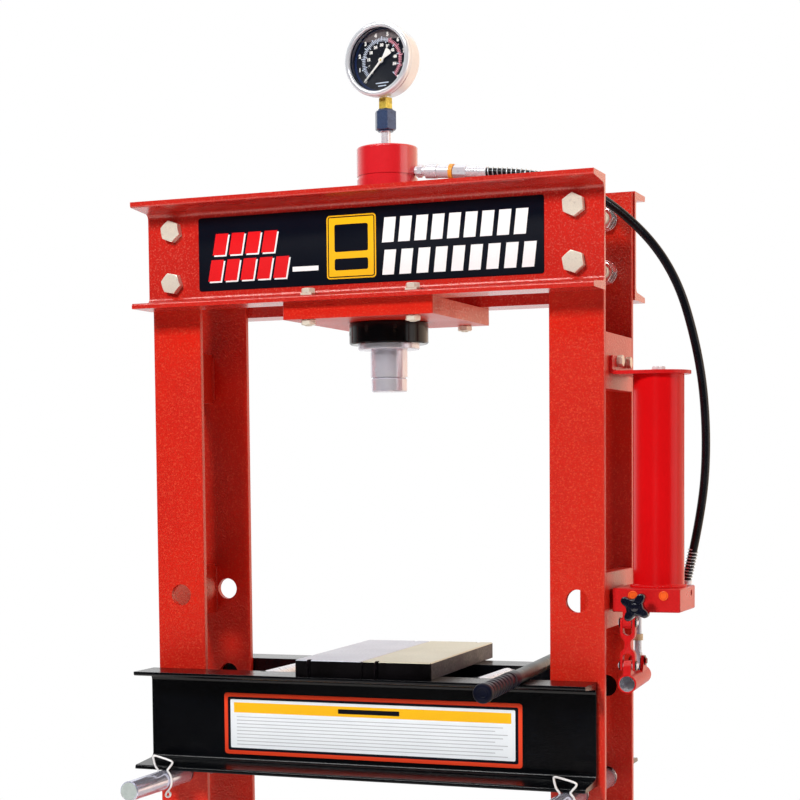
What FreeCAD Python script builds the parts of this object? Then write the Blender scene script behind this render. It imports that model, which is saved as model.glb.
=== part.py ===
# Hydraulic shop press, H-frame, bench height bed. Millimetres, +Z up.
# Origin: centre of the four floor-anchor holes, on the floor.
import FreeCAD, Part
import os, math
from FreeCAD import Vector as V, Rotation, Placement

os.makedirs("parts", exist_ok=True)

# ---------------------------------------------------------------- driving dimensions
T = 1550.0                 # top of the head beams above the floor
POST_W, POST_T = 80.0, 10.0      # flat bar posts
POST_XO = 355.5            # outer edge of the posts
POST_XI = POST_XO - POST_W
POST_YO = 88.0             # outer faces of front and rear posts
POST_YI = POST_YO - POST_T
XC = (POST_XO + POST_XI) / 2     # centre line of a post
HOLE_R = 16.5              # pin holes in the posts
HOLE_PITCH = 138.8
HOLE_Z = [T - 597.6 - i * HOLE_PITCH for i in range(5)]
BEAM_L, BEAM_H, BEAM_B, BEAM_W = 716.0, 160.0, 65.0, 7.5   # head channels
BEAM_TIP, BEAM_ROOT = 8.0, 12.6
BED_X0, BED_X1 = -364.5, 345.5
BED_TOP, BED_H = T - 711.7, 150.0
BED_Y, BED_B, BED_W = 90.5, 66.5, 7.0
BED_TIP, BED_ROOT = 6.0, 11.0
PIN_R, PIN_Y0, PIN_Y1 = 15.0, -268.0, 180.0
PIN_Z = HOLE_Z[2] - (HOLE_R - PIN_R)
FOOT_L, FOOT_A, FOOT_T = 620.0, 90.0, 8.0
ANCHOR_X, ANCHOR_Y, ANCHOR_R = 313.5, 270.0, 7.0
BRACE_Z, BRACE_A, BRACE_T = 150.0, 60.0, 6.0
PLATE_X, PLATE_Y, PLATE_T = 117.0, 133.0, 25.0    # cylinder mounting plate
CYL_R, CYL_BORE = 46.0, 36.0
ROD_R = 28.0
STROKE = 150.0
GX, GZ, G_YAW = -2.0, T + 205.0, -8.0              # gauge centre and turn
G_R = 55.25
PUMP = V(415.0, -8.5, 0)   # axis of the reservoir tube
TUBE_R, TUBE_T = 36.5, 3.0
BLK_Z0, BLK_Z1 = T - 614.0, T - 580.0
BLK_Y0, BLK_Y1, BLK_X1 = -60.0, 43.0, 457.0
LX = 380.5                 # mid plane of the pump linkage
HANDLE_R = 10.0
PIV_A = (-50.0, T - 629.5) # upper link pivot (y, z)
PIV_B = (-50.0, T - 691.5) # lower link pivot
PIV_P = (10.0, T - 690.0)  # plunger pin
HOSE_D = 12.5
SLOT_W, SLOT_L = 6.0, 7.0  # slots in the ends of the arbor plates

# ---------------------------------------------------------------- helpers
def box(x0, y0, z0, x1, y1, z1):
    return Part.makeBox(x1 - x0, y1 - y0, z1 - z0, V(x0, y0, z0))

def cyl(p, d, r, h):
    return Part.makeCylinder(r, h, V(*p), V(*d))

def cone(p, d, r0, r1, h):
    return Part.makeCone(r0, r1, h, V(*p), V(*d))

def poly(pts, vec):
    w = Part.makePolygon([V(*p) for p in pts] + [V(*pts[0])])
    return Part.Face(w).extrude(V(*vec))

def hexa(p, d, af, h, both=False):
    """Hexagon prism with its bearing face at p, growing along d, chamfered like a nut."""
    ac = af / math.sqrt(3)
    pts = [(ac * math.cos(math.radians(60 * k)), ac * math.sin(math.radians(60 * k)), 0) for k in range(6)]
    s = poly(pts, (0, 0, h))
    k = 0.475 * af
    s = s.common(Part.makeCone(k + h / math.tan(math.radians(30)), k, h))
    if both:
        s = s.common(Part.makeCone(k, k + h / math.tan(math.radians(30)), h))
    s.Placement = Placement(V(*p), Rotation(V(0, 0, 1), V(*d)))
    return s

def bolt(p, d, r, length, af, k, turned=0.0):
    """Hexagon head bolt: under-head face at p, shank along d."""
    n = V(*d)
    h = hexa(p, tuple(n * -1), af, k)
    h.rotate(V(*p), n, turned)
    s = cyl(p, d, r, length - 1.5)
    e = V(*p) + n * (length - 1.5)
    return h.fuse([s, cone(tuple(e), d, r, r - 1.2, 1.5)]).removeSplitter()

def nut(p, d, r, af, h):
    return hexa(p, d, af, h, True).cut(cyl(p, d, r, h))

def washer(p, d, ro, ri, t):
    return cyl(p, d, ro, t).cut(cyl(p, d, ri, t))

def edges_at(s, pred):
    out = []
    for e in s.Edges:
        c = e.CenterOfMass
        if pred(e, c):
            out.append(e)
    return out

def fil(s, r, pred):
    es = edges_at(s, pred)
    if not es:
        print("no edges for fillet", r)
        return s
    try:
        f = s.makeFillet(r, es)
        if f.isValid() and f.Volume > 0:
            return f
    except Exception as x:
        print("fillet failed", r, x)
    return s

def cham(s, r, pred):
    es = edges_at(s, pred)
    try:
        f = s.makeChamfer(r, es)
        if f.isValid():
            return f
    except Exception as x:
        print("chamfer failed", r, x)
    return s

def along(e, axis):
    if e.Length < 1e-6 or len(e.Vertexes) < 2:
        return False
    a, b = e.Vertexes[0].Point, e.Vertexes[-1].Point
    d = b - a
    return abs(abs(d.dot(V(*axis))) - e.Length) < 1e-4

def near(a, b, tol=0.3):
    return abs(a - b) < tol

def channel(yb, s, x0, x1, zt, h, b, tw, tip, root, r1, r2):
    """Rolled channel along X: web back at yb, flanges towards s*y."""
    z0, z1 = zt - h, zt
    yw, yt = yb + s * tw, yb + s * b
    pts = [(x0, yb, z0), (x0, yt, z0), (x0, yt, z0 + tip), (x0, yw, z0 + root),
           (x0, yw, z1 - root), (x0, yt, z1 - tip), (x0, yt, z1), (x0, yb, z1)]
    c = poly(pts, (x1 - x0, 0, 0))
    c = fil(c, r1, lambda e, q: along(e, (1, 0, 0)) and near(q.y, yw) and (near(q.z, z0 + root) or near(q.z, z1 - root)))
    c = fil(c, r2, lambda e, q: along(e, (1, 0, 0)) and near(q.y, yt) and (near(q.z, z0 + tip) or near(q.z, z1 - tip)))
    return c

def rod_chain(pts, r):
    """Bent wire: cylinders with ball corners."""
    out = []
    for a, b in zip(pts, pts[1:]):
        a, b = V(*a), V(*b)
        out.append(Part.makeCylinder(r, (b - a).Length, a, b - a))
    for p in pts[1:-1]:
        out.append(Part.makeSphere(r, V(*p)))
    return out[0].fuse(out[1:]).removeSplitter()

NODES = {}
def put(name, *shapes):
    flat = []
    for s in shapes:
        flat += list(s) if isinstance(s, (list, tuple)) else [s]
    sol = []
    for s in flat:
        assert s.isValid(), name
        sol += s.Solids
    c = sol[0] if len(sol) == 1 else Part.makeCompound(sol)
    NODES[name] = c
    c.exportStep("parts/%s.step" % name)

# ---------------------------------------------------------------- posts
BOLT_Z = [T - 80 + 39.5, T - 80 - 39.5]
BR_X = [POST_XI + 22.0, POST_XO - 22.0]     # brace bolts across one post
BR_Z = BRACE_Z + 34.0
def post(sx, sy):
    y0, y1 = (POST_YI, POST_YO) if sy > 0 else (-POST_YO, -POST_YI)
    x0, x1 = (POST_XI, POST_XO) if sx > 0 else (-POST_XO, -POST_XI)
    p = box(x0, y0, FOOT_T, x1, y1, T - 2)
    p = cham(p, 1.0, lambda e, c: along(e, (0, 0, 1)))
    cut = [cyl((sx * XC, y0 - 1, z), (0, 1, 0), HOLE_R, POST_T + 2) for z in HOLE_Z]
    cut += [cyl((sx * XC, y0 - 1, z), (0, 1, 0), 10.5, POST_T + 2) for z in BOLT_Z]
    cut += [cyl((sx * x, y0 - 1, BR_Z), (0, 1, 0), 6.5, POST_T + 2) for x in BR_X]
    return p.cut(cut)
put("post_left_front", post(-1, -1))
put("post_left_rear", post(-1, 1))
put("post_right_front", post(1, -1))
put("post_right_rear", post(1, 1))

BAT_Z = [(T - 296.5, T - 216.5), (T - 637.5, T - 557.5), (60.0, 140.0)]
bats = []
for sx in (-1, 1):
    for k, (za, zb) in enumerate(BAT_Z):
        xa, xb = sorted((sx * POST_XO, sx * (POST_XO - 20.0)))
        b = box(xa, -POST_YI, za, xb, POST_YI, zb)
        b = cham(b, 1.2, lambda e, c: along(e, (0, 1, 0)))
        if sx > 0 and k == 0:
            b = b.cut([cyl((POST_XO + 1, y, T - 256.0), (-1, 0, 0), 5.0, 18.0) for y in (-27.0, 21.0)])
        if sx > 0 and k == 1:
            b = b.cut([cyl((POST_XO + 1, y, T - 597.0), (-1, 0, 0), 4.2, 30.0) for y in (-30.0, 20.0)])
        bats.append(b)
put("batten_plates", bats)

# ---------------------------------------------------------------- feet and lower cross members
def foot(sx):
    xo, xi = sx * (POST_XO + FOOT_T), sx * (POST_XO + FOOT_T - FOOT_A)
    y0 = -FOOT_L / 2
    xw = sx * POST_XO
    # angle with the upright leg's ends cut back at 45 degrees
    a = box(min(xo, xi), y0, 0, max(xo, xi), -y0, FOOT_T)
    a = fil(a, 12.0, lambda e, c: along(e, (0, 0, 1)) and near(c.x, xi))
    u = poly([(min(xo, xw), y0, 0), (min(xo, xw), -y0, 0), (min(xo, xw), -y0, 30.0), (min(xo, xw), -y0 - 60.0, FOOT_A),
              (min(xo, xw), y0 + 60.0, FOOT_A), (min(xo, xw), y0, 30.0)], (FOOT_T, 0, 0))
    f = a.fuse(u).removeSplitter()
    return f.cut([cyl((sx * ANCHOR_X, s * ANCHOR_Y, -1), (0, 0, 1), ANCHOR_R, FOOT_T + 2) for s in (-1, 1)])
put("foot_left", foot(-1))
put("foot_right", foot(1))

def brace(sy):
    y0, y1 = sy * POST_YO, sy * (POST_YO + BRACE_T)
    a = box(-POST_XO, min(y0, y1), BRACE_Z, POST_XO, max(y0, y1), BRACE_Z + BRACE_A)
    y2 = sy * (POST_YO + BRACE_A)
    b = box(-POST_XO, min(y0, y2), BRACE_Z, POST_XO, max(y0, y2), BRACE_Z + BRACE_T)
    b = fil(b, 8.0, lambda e, c: along(e, (0, 0, 1)) and near(c.y, y2))
    s = a.fuse(b).removeSplitter()
    s = fil(s, 6.0, lambda e, c: along(e, (1, 0, 0)) and near(c.y, y1) and near(c.z, BRACE_Z + BRACE_T))
    s = fil(s, 2.5, lambda e, c: along(e, (1, 0, 0)) and near(c.y, y1) and near(c.z, BRACE_Z + BRACE_A))
    return s.cut([cyl((sx * x, sy * 80, BR_Z), (0, sy, 0), 6.5, 20) for sx in (-1, 1) for x in BR_X])
put("cross_brace_front", brace(-1))
put("cross_brace_rear", brace(1))
bf = []
for sy in (-1, 1):
    for sx in (-1, 1):
        for x in BR_X:
            yo = POST_YO + BRACE_T
            bf.append(washer((sx * x, sy * yo, BR_Z), (0, sy, 0), 12.0, 6.5, 2.5))
            bf.append(bolt((sx * x, sy * (yo + 2.5), BR_Z), (0, -sy, 0), 6.0, 35.0, 19.0, 7.5))
            bf.append(nut((sx * x, sy * POST_YI, BR_Z), (0, -sy, 0), 6.0, 19.0, 10.0))
put("brace_fasteners", bf)

# ---------------------------------------------------------------- head beams
YB = POST_YO
def beam(s):
    c = channel(s * YB, s, -BEAM_L / 2, BEAM_L / 2, T, BEAM_H, BEAM_B, BEAM_W, BEAM_TIP, BEAM_ROOT, 9.0, 3.5)
    cut = [cyl((sx * XC, s * (YB - 1), z), (0, s, 0), 10.5, BEAM_W + 2) for sx in (-1, 1) for z in BOLT_Z]
    cut += [cyl((sx * 82.0, s * 118.0, T - BEAM_H - 1), (0, 0, 1), 6.5, 20) for sx in (-1, 1)]
    return c.cut(cut)
put("top_beam_front", beam(-1))
put("top_beam_rear", beam(1))
bb, bn = [], []
# each head stopped where it came tight
HEAD_TURN = {(-1, -1, True): 20.0, (-1, -1, False): 12.0, (-1, 1, True): 26.0, (-1, 1, False): 20.0, (1, -1, True): 8.0, (1, -1, False): 41.0, (1, 1, True): 17.0, (1, 1, False): 33.0}
for s in (-1, 1):
    for sx in (-1, 1):
        for z in BOLT_Z:
            yw = YB + BEAM_W
            bb.append(bolt((sx * XC, s * yw, z), (0, -s, 0), 10.0, 43.0, 29.0, 12.5, HEAD_TURN[(s, sx, z > T - 80)]))
            bn.append(washer((sx * XC, s * POST_YI, z), (0, -s, 0), 18.5, 10.5, 3.0))
            bn.append(nut((sx * XC, s * (POST_YI - 3), z), (0, -s, 0), 10.0, 29.0, 16.0))
put("beam_bolts", bb)
put("beam_nuts", bn)
np_ = box(-271.5, -YB - BEAM_W - 1.5, T - 133.3, 271.5, -YB - BEAM_W, T - 23.0)
np_ = fil(np_, 5.0, lambda e, c: along(e, (0, 1, 0)))
put("nameplate_panel", np_)

# ---------------------------------------------------------------- cylinder mounting plate
pp = box(-PLATE_X, -PLATE_Y, T - BEAM_H - PLATE_T, PLATE_X, PLATE_Y, T - BEAM_H)
pp = cham(pp, 1.5, lambda e, c: along(e, (0, 0, 1)))
pp = pp.cut([cyl((0, 0, T - 200), (0, 0, 1), CYL_R, 60)] +
            [cyl((sx * 82.0, s * 118.0, T - 200), (0, 0, 1), 6.5, 60) for sx in (-1, 1) for s in (-1, 1)])
put("press_plate", pp)
pf = []
def flange_top(y, tip, root, b, tw, yb):
    return tip + (root - tip) * (yb + b - y) / (b - tw)
for s in (-1, 1):
    for sx in (-1, 1):
        # taper washer on the sloping inside of the flange
        ya, yb2 = 109.0, 127.0
        ta, tb = [T - BEAM_H + flange_top(y, BEAM_TIP, BEAM_ROOT, BEAM_B, BEAM_W, YB) for y in (ya, yb2)]
        zt = ta + 2.0
        w = poly([(sx * 82.0 - 9.0, s * ya, ta), (sx * 82.0 - 9.0, s * yb2, tb), (sx * 82.0 - 9.0, s * yb2, zt), (sx * 82.0 - 9.0, s * ya, zt)], (18.0, 0, 0))
        w = w.cut(cyl((sx * 82.0, s * 118.0, T - 170), (0, 0, 1), 6.5, 60))
        pf.append(w)
        pf.append(bolt((sx * 82.0, s * 118.0, zt), (0, 0, -1), 6.0, zt - (T - 194.5), 19.0, 7.5))
        pf.append(nut((sx * 82.0, s * 118.0, T - 185.0), (0, 0, -1), 6.0, 20.0, 8.0))
put("press_plate_fasteners", pf)

# ---------------------------------------------------------------- ram cylinder
cb = cyl((0, 0, T - 218), (0, 0, 1), CYL_R, 295.0)
cb = fil(cb, 3.0, lambda e, c: near(c.z, T + 77.0))
ring = cyl((0, 0, T + 29.0), (0, 0, 1), CYL_R + 2, 5.0).cut(cyl((0, 0, T + 29.0), (0, 0, 1), CYL_R - 1.6, 5.0))
cb = cb.cut([ring, cyl((0, 0, T - 219), (0, 0, 1), CYL_BORE, 271.0)])
cb = cb.cut([cyl((GX, 0, T + 40), (0, 0, 1), 5.0, 40.0), cyl((30, 0, T + 39.3), (1, 0, 0), 5.0, 20)])
put("cylinder_barrel", cb)
lk = cyl((0, 0, T - 218), (0, 0, 1), 60.0, 33.0)
lk = cham(lk, 2.0, lambda e, c: near(e.Length, 2 * math.pi * 60.0, 1.0) and e.Curve.TypeId.endswith("Circle"))
lk = lk.cut(cyl((0, 0, T - 219), (0, 0, 1), CYL_R, 40))
lk = lk.cut([cyl((67 * math.cos(math.radians(a)), 67 * math.sin(math.radians(a)), T - 201.5), (-math.cos(math.radians(a)), -math.sin(math.radians(a)), 0), 4.0, 14.0) for a in (30, 120, 210, 300)])
put("cylinder_lock_ring", lk)
gr = cyl((0, 0, T - 226), (0, 0, 1), 46.7, 8.0)
gr = cham(gr, 1.2, lambda e, c: near(c.z, T - 226))
gr = gr.fuse(cyl((0, 0, T - 218), (0, 0, 1), CYL_BORE, 14.0)).cut(cyl((0, 0, T - 227), (0, 0, 1), ROD_R + 0.06, 30)).removeSplitter()
put("cylinder_gland_ring", gr)
rr = cyl((0, 0, T - 267.5), (0, 0, 1), ROD_R, 279.5).fuse(cyl((0, 0, T + 12.0), (0, 0, 1), CYL_BORE - 0.06, 35.0)).removeSplitter()
rr = rr.cut([cyl((0, 0, T - 225.0), (0, 0, 1), 13.0, 280), cyl((0, 0, T - 268), (0, 0, 1), 15.0, 25.0)])
rr = rr.cut(cyl((-12.0, -40.0, T - 257.0), (0, 1, 0), 3.0, 40.0))
put("ram_rod", rr)
rs = cyl((0, 0, T - 225.0), (0, 0, 1), 10.5, 277.0).cut(cyl((0, 0, T - 225.0), (0, 0, 1), 7.5, 277.0))
put("return_spring", rs)
hd = cyl((0, 0, T - 289.5), (0, 0, 1), 27.0, 20.5)
hd = cham(hd, 1.5, lambda e, c: near(c.z, T - 289.5) or near(c.z, T - 269.0))
hd = hd.fuse([cyl((0, 0, T - 269.0), (0, 0, 1), 25.0, 1.5), cyl((0, 0, T - 267.5), (0, 0, 1), 15.0, 24.0)]).removeSplitter()
hd = hd.cut(cyl((-12.0, -40.0, T - 257.0), (0, 1, 0), 2.9, 40.0))
ss = cyl((-12.0, -25.0, T - 257.0), (0, 1, 0), 2.9, 14.0)
put("press_head", hd, ss)

# ---------------------------------------------------------------- gauge
nip = cyl((GX, 0, T + 77), (0, 0, 1), 7.25, 26.0)
cpl = hexa((GX, 0, T + 103), (0, 0, 1), 29.0, 29.0, True)
cpl = cpl.fuse(cyl((GX, 0, T + 101), (0, 0, 1), 11.5, 33.0)).removeSplitter()
nip = nip.cut(cyl((GX, 0, T + 101), (0, 0, 1), 11.5, 33.0))
put("gauge_coupling", nip, cpl)
def turn(s):
    s = s.copy()
    s.rotate(V(GX, 0, 0), V(0, 0, 1), G_YAW)
    return s
cs = cyl((GX, 16.0, GZ), (0, -1, 0), 52.0, 38.0)
cs = fil(cs, 5.0, lambda e, c: near(c.y, 16.0))
cs = cs.cut(cyl((GX, 12.5, GZ), (0, -1, 0), 49.0, 60.0))
stem = hexa((GX, 0, T + 134.0), (0, 0, 1), 19.5, 17.0, True).fuse(cyl((GX, 0, T + 150.0), (0, 0, 1), 6.5, 22.0)).removeSplitter()
cs = cs.cut(cyl((GX, 0, T + 140.0), (0, 0, 1), 6.5, 20.0))
stem = stem.fuse(box(GX - 8, -5, T + 158.0, GX + 8, 5, T + 180.0)).removeSplitter()
put("gauge_case", turn(cs), turn(stem))
bz = cyl((GX, -14.0, GZ), (0, -1, 0), G_R, 15.0)
bz = fil(bz, 4.0, lambda e, c: near(c.y, -29.0))
bz = bz.cut([cyl((GX, -13.0, GZ), (0, -1, 0), 52.0, 9.0), cyl((GX, -20.0, GZ), (0, -1, 0), 49.05, 4.0), cyl((GX, -20.0, GZ), (0, -1, 0), 46.5, 20.0)])
put("gauge_bezel", turn(bz))
dl = cyl((GX, -9.0, GZ), (0, -1, 0), 49.0, 1.2).cut(cyl((GX, 0, GZ), (0, -1, 0), 1.6, 20))
put("gauge_dial", turn(dl))
a = math.radians(225.0)
u, w = V(math.cos(a), 0, math.sin(a)), V(-math.sin(a), 0, math.cos(a))
c0 = V(GX, -12.2, GZ)
def npt(l, h):
    q = c0 + u * l + w * h
    return (q.x, q.y, q.z)
nd = poly([npt(0, 2.2), npt(42, 0.5), npt(42, -0.5), npt(0, -2.2), npt(-12, -3.6), npt(-16, -3.6), npt(-16, 3.6), npt(-12, 3.6)], (0, -1.0, 0))
nd = nd.fuse([cyl((GX, -7.0, GZ), (0, -1, 0), 1.5, 7.5), cyl((GX, -12.2, GZ), (0, -1, 0), 4.0, 2.6)]).removeSplitter()
put("gauge_needle", turn(nd))
put("gauge_lens", turn(cyl((GX, -22.0, GZ), (0, -1, 0), 49.0, 2.0)))

# ---------------------------------------------------------------- hose, its couplings and route
CDIR = V(math.cos(math.radians(4.8)), 0, -math.sin(math.radians(4.8)))
CP = V(44.0, 0, T + 39.3)
def cat(l):
    q = CP + CDIR * l
    return (q.x, q.y, q.z)
cd = (CDIR.x, CDIR.y, CDIR.z)
pn = cyl(cat(0.0), cd, 6.8, 18.0).fuse(hexa(cat(5.0), cd, 17.0, 8.0, True)).removeSplitter()
pn = pn.cut(cyl((0, 0, T + 20), (0, 0, 1), CYL_R, 40))
put("port_nipple", pn)
sl = cyl(cat(18.3), cd, 10.6, 18.4).cut(cyl(cat(18.0), cd, 7.0, 19.0))
core = cyl(cat(18.0), cd, 6.9, 19.0)
put("coupler_sleeve", cham(sl, 0.8, lambda e, c: near(e.Length, 2 * math.pi * 10.6, 0.5)))
bd = core.fuse([cyl(cat(37.0), cd, 9.6, 18.5), cyl(cat(55.5), cd, 8.2, 6.2), hexa(cat(61.7), cd, 18.0, 20.3, True)]).removeSplitter()
lr = cyl(cat(55.6), cd, 11.4, 6.0).cut(cyl(cat(55.0), cd, 8.2, 8.0))
put("coupler_body", bd, lr)
FL = 113.5
fe = cyl(cat(82.0), cd, 8.6, FL - 82.0)
fe = cham(fe, 0.9, lambda e, c: near(e.Length, 2 * math.pi * 8.6, 0.5))
put("hose_ferrule_top", fe)

def unit(v):
    return v * (1.0 / v.Length)

def route(pts, label):
    """Straight runs joined by tangent arcs; returns the list of edges."""
    P = [V(*p) for p in pts]
    edges, start, radii = [], P[0], []
    for i in range(1, len(P) - 1):
        d1, d2 = unit(P[i] - P[i - 1]), unit(P[i + 1] - P[i])
        turn_a = math.acos(max(-1, min(1, d1.dot(d2))))
        t = 0.45 * min((P[i] - P[i - 1]).Length, (P[i + 1] - P[i]).Length)
        R = t / math.tan(turn_a / 2)
        radii.append(round(R, 1))
        a, b = P[i] - d1 * t, P[i] + d2 * t
        m = P[i] + unit(d2 - d1) * (R / math.cos(turn_a / 2) - R)
        edges.append(Part.LineSegment(start, a).toShape())
        edges.append(Part.Arc(a, m, b).toShape())
        start = b
    edges.append(Part.LineSegment(start, P[-1]).toShape())
    runs = [round((q - p).Length, 1) for p, q in zip(P, P[1:])]
    print(label, "runs", runs, "radii", radii, "length", round(sum(e.Length for e in edges), 1))
    return edges

def tube(edges, ro, ri=0.0):
    wire = Part.Wire(edges)
    p0 = edges[0].Vertexes[0].Point
    p0 = edges[0].valueAt(edges[0].FirstParameter)
    t0 = edges[0].tangentAt(edges[0].FirstParameter)
    def sweep(r):
        c = Part.Wire([Part.makeCircle(r, p0, t0)])
        s = wire.makePipeShell([c], True, True)
        s = s if s.ShapeType == "Solid" else Part.Solid(s)
        return s
    s = sweep(ro)
    L = sum(e.Length for e in edges)
    if ri:
        s = s.cut(sweep(ri))
    want = math.pi * (ro * ro - ri * ri) * L
    print("tube volume / section x length =", round(abs(s.Volume) / want, 4))
    return s

h0 = cat(FL)
h1 = cat(FL + 93.0)
HP = [h0, h1, (345.0, 0.0, T - 24.0), (432.0, 8.0, T - 118.0), (468.0, 24.0, T - 250.0),
      (475.0, 42.0, T - 370.0), (464.0, 56.0, T - 480.0), (441.0, 60.0, T - 574.0)]
print("hose points", [tuple(round(c, 2) for c in p) for p in HP])
he = route(HP, "hose")
put("pressure_hose", tube(he, HOSE_D / 2))
put("hose_guard_top", tube(he[:2], 8.25, HOSE_D / 2 + 0.05))
# lower guard follows the last straight run
pe = V(*HP[-1]); dd = unit(V(*HP[-1]) - V(*HP[-2]))
g0 = pe - dd * 46.0
put("hose_guard_bottom", cyl(tuple(g0), tuple(dd), 8.0, 46.0).cut(cyl(tuple(g0), tuple(dd), HOSE_D / 2 + 0.05, 46.0)))
fe2 = cham(cyl(tuple(pe), tuple(dd), 8.6, 21.0), 0.9, lambda e, c: near(e.Length, 2 * math.pi * 8.6, 0.5))
put("hose_ferrule_bottom", fe2)
ee = pe + dd * 21.0
ec = ee + dd * 9.0
el = Part.makeSphere(8.8, ec).fuse([cyl(tuple(ee), tuple(dd), 7.2, 9.0),
     Part.makeCylinder(7.2, ec.y - BLK_Y1, V(ec.x, BLK_Y1, ec.z), V(0, 1, 0)), hexa((ec.x, BLK_Y1, ec.z), (0, 1, 0), 17.0, 8.0, True)]).removeSplitter()
put("pump_elbow", el)

# ---------------------------------------------------------------- pump
rt = Part.makeCylinder(TUBE_R, T - 276.0 - BLK_Z1, V(PUMP.x, PUMP.y, BLK_Z1), V(0, 0, 1))
bead = Part.makeCone(TUBE_R + 3.6, TUBE_R, 4.5, V(PUMP.x, PUMP.y, BLK_Z1), V(0, 0, 1))
rt = rt.fuse(bead).cut(Part.makeCylinder(TUBE_R - TUBE_T, 320.0, V(PUMP.x, PUMP.y, BLK_Z1 - 1), V(0, 0, 1))).removeSplitter()
put("pump_reservoir", rt)
zt = T - 276.0
ph = poly([(355.5, -60.0, zt), (415.0, PUMP.y - 46.0, zt), (415.0, PUMP.y + 46.0, zt), (355.5, 58.0, zt)], (0, 0, 5.0))
ph = ph.fuse(Part.makeCylinder(46.0, 5.0, V(PUMP.x, PUMP.y, zt), V(0, 0, 1))).removeSplitter()
pv = box(355.5, -60.0, zt, 360.5, 58.0, T - 249.0)
pv = fil(pv, 6.0, lambda e, c: along(e, (1, 0, 0)) and near(c.z, T - 249.0))
br = ph.fuse(pv).removeSplitter()
br = fil(br, 7.0, lambda e, c: along(e, (0, 1, 0)) and near(c.x, 355.5) and near(c.z, zt))
br = fil(br, 3.0, lambda e, c: along(e, (0, 1, 0)) and near(c.x, 360.5) and near(c.z, zt + 5))
br = br.cut([cyl((350, y, T - 256.0), (1, 0, 0), 5.25, 20) for y in (-27.0, 21.0)] + [Part.makeCylinder(5.1, 20, V(PUMP.x, PUMP.y, zt - 5), V(0, 0, 1))])
put("pump_top_bracket", br)
fp = Part.makeCylinder(9.5, 6.5, V(PUMP.x, PUMP.y, T - 271.0), V(0, 0, 1))
fp = cham(fp, 1.0, lambda e, c: near(c.z, T - 264.5))
fp = fp.fuse(Part.makeCylinder(5.0, 15.0, V(PUMP.x, PUMP.y, T - 286.0), V(0, 0, 1))).removeSplitter()
put("filler_plug", fp)
mb = []
for y in (-27.0, 21.0):
    mb.append(washer((360.5, y, T - 256.0), (1, 0, 0), 6.5 + 1.8, 5.25, 1.6))
    mb.append(bolt((362.1, y, T - 256.0), (-1, 0, 0), 5.0, 20.0, 15.0, 6.4))
for y in (-30.0, 20.0):
    mb.append(cyl((327.5, y, T - 597.0), (1, 0, 0), 6.5, 8.0).cut(hexa((327.5, y, T - 597.0), (1, 0, 0), 6.0, 4.0)).fuse(cyl((335.5, y, T - 597.0), (1, 0, 0), 4.0, 36.0)).removeSplitter())
put("pump_mount_bolts", mb)
bk = box(359.5, BLK_Y0, BLK_Z0, BLK_X1, BLK_Y1, BLK_Z1)
bk = cham(bk, 1.5, lambda e, c: along(e, (0, 0, 1)) or near(c.z, BLK_Z0) or near(c.z, BLK_Z1))
bk = bk.fuse(box(355.5, -42.0, BLK_Z0 + 2, 362.0, 32.0, BLK_Z1 - 2)).removeSplitter()
lug = poly([(374.5, -61.0, BLK_Z0 + 2), (374.5, -39.0, BLK_Z0 + 2), (374.5, -41.5, PIV_A[1] - 4), (374.5, -46.0, PIV_A[1] - 8.5),
            (374.5, -54.0, PIV_A[1] - 8.5), (374.5, -58.5, PIV_A[1] - 4)], (12.0, 0, 0))
bk = bk.fuse(lug.common(box(370, BLK_Y0, 0, 392, 0, T))).removeSplitter()
bk = bk.cut([cyl((360, PIV_A[0], PIV_A[1]), (1, 0, 0), 4.06, 40.0),
             Part.makeCylinder(7.0, 14.0, V(LX, PIV_P[0], BLK_Z0 - 1), V(0, 0, 1)),
             Part.makeCylinder(5.06, 30.5, V(LX, PIV_P[0], BLK_Z0 - 1), V(0, 0, 1)),
             cyl((400.5, BLK_Y0 - 1, T - 604.5), (0, 1, 0), 5.05, 26.0),
             cyl((389.5, BLK_Y0 - 1, T - 590.0), (0, 1, 0), 5.0, 22.0), cyl((433.6, BLK_Y0 - 1, T - 590.0), (0, 1, 0), 5.0, 22.0),
             cyl((BLK_X1 + 1, 17.0, T - 590.0), (-1, 0, 0), 4.5, 14.0),
             cyl((ec.x, BLK_Y1 + 1, ec.z), (0, -1, 0), 4.5, 22.0)] +
            [cyl((350.0, y, T - 597.0), (1, 0, 0), 4.0, 22.0) for y in (-30.0, 20.0)])
gl = washer((LX, PIV_P[0], BLK_Z0 + 1.0), (0, 0, 1), 7.0, 5.06, 11.0)   # packing ring round the plunger
put("pump_block", bk, gl)
vp = []
for x in (389.5, 433.6):
    c = cyl((x, BLK_Y0, T - 590.0), (0, -1, 0), 6.7, 1.8)
    c = fil(c, 1.0, lambda e, q: near(q.y, BLK_Y0 - 1.8))
    vp.append(c.fuse(cyl((x, BLK_Y0, T - 590.0), (0, 1, 0), 5.0, 12.0)).removeSplitter())
    vp.append(Part.makeSphere(3.2, V(x, BLK_Y0 + 16.0, T - 590.0)))      # check-valve ball behind the plug
put("valve_plugs", vp)
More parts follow.
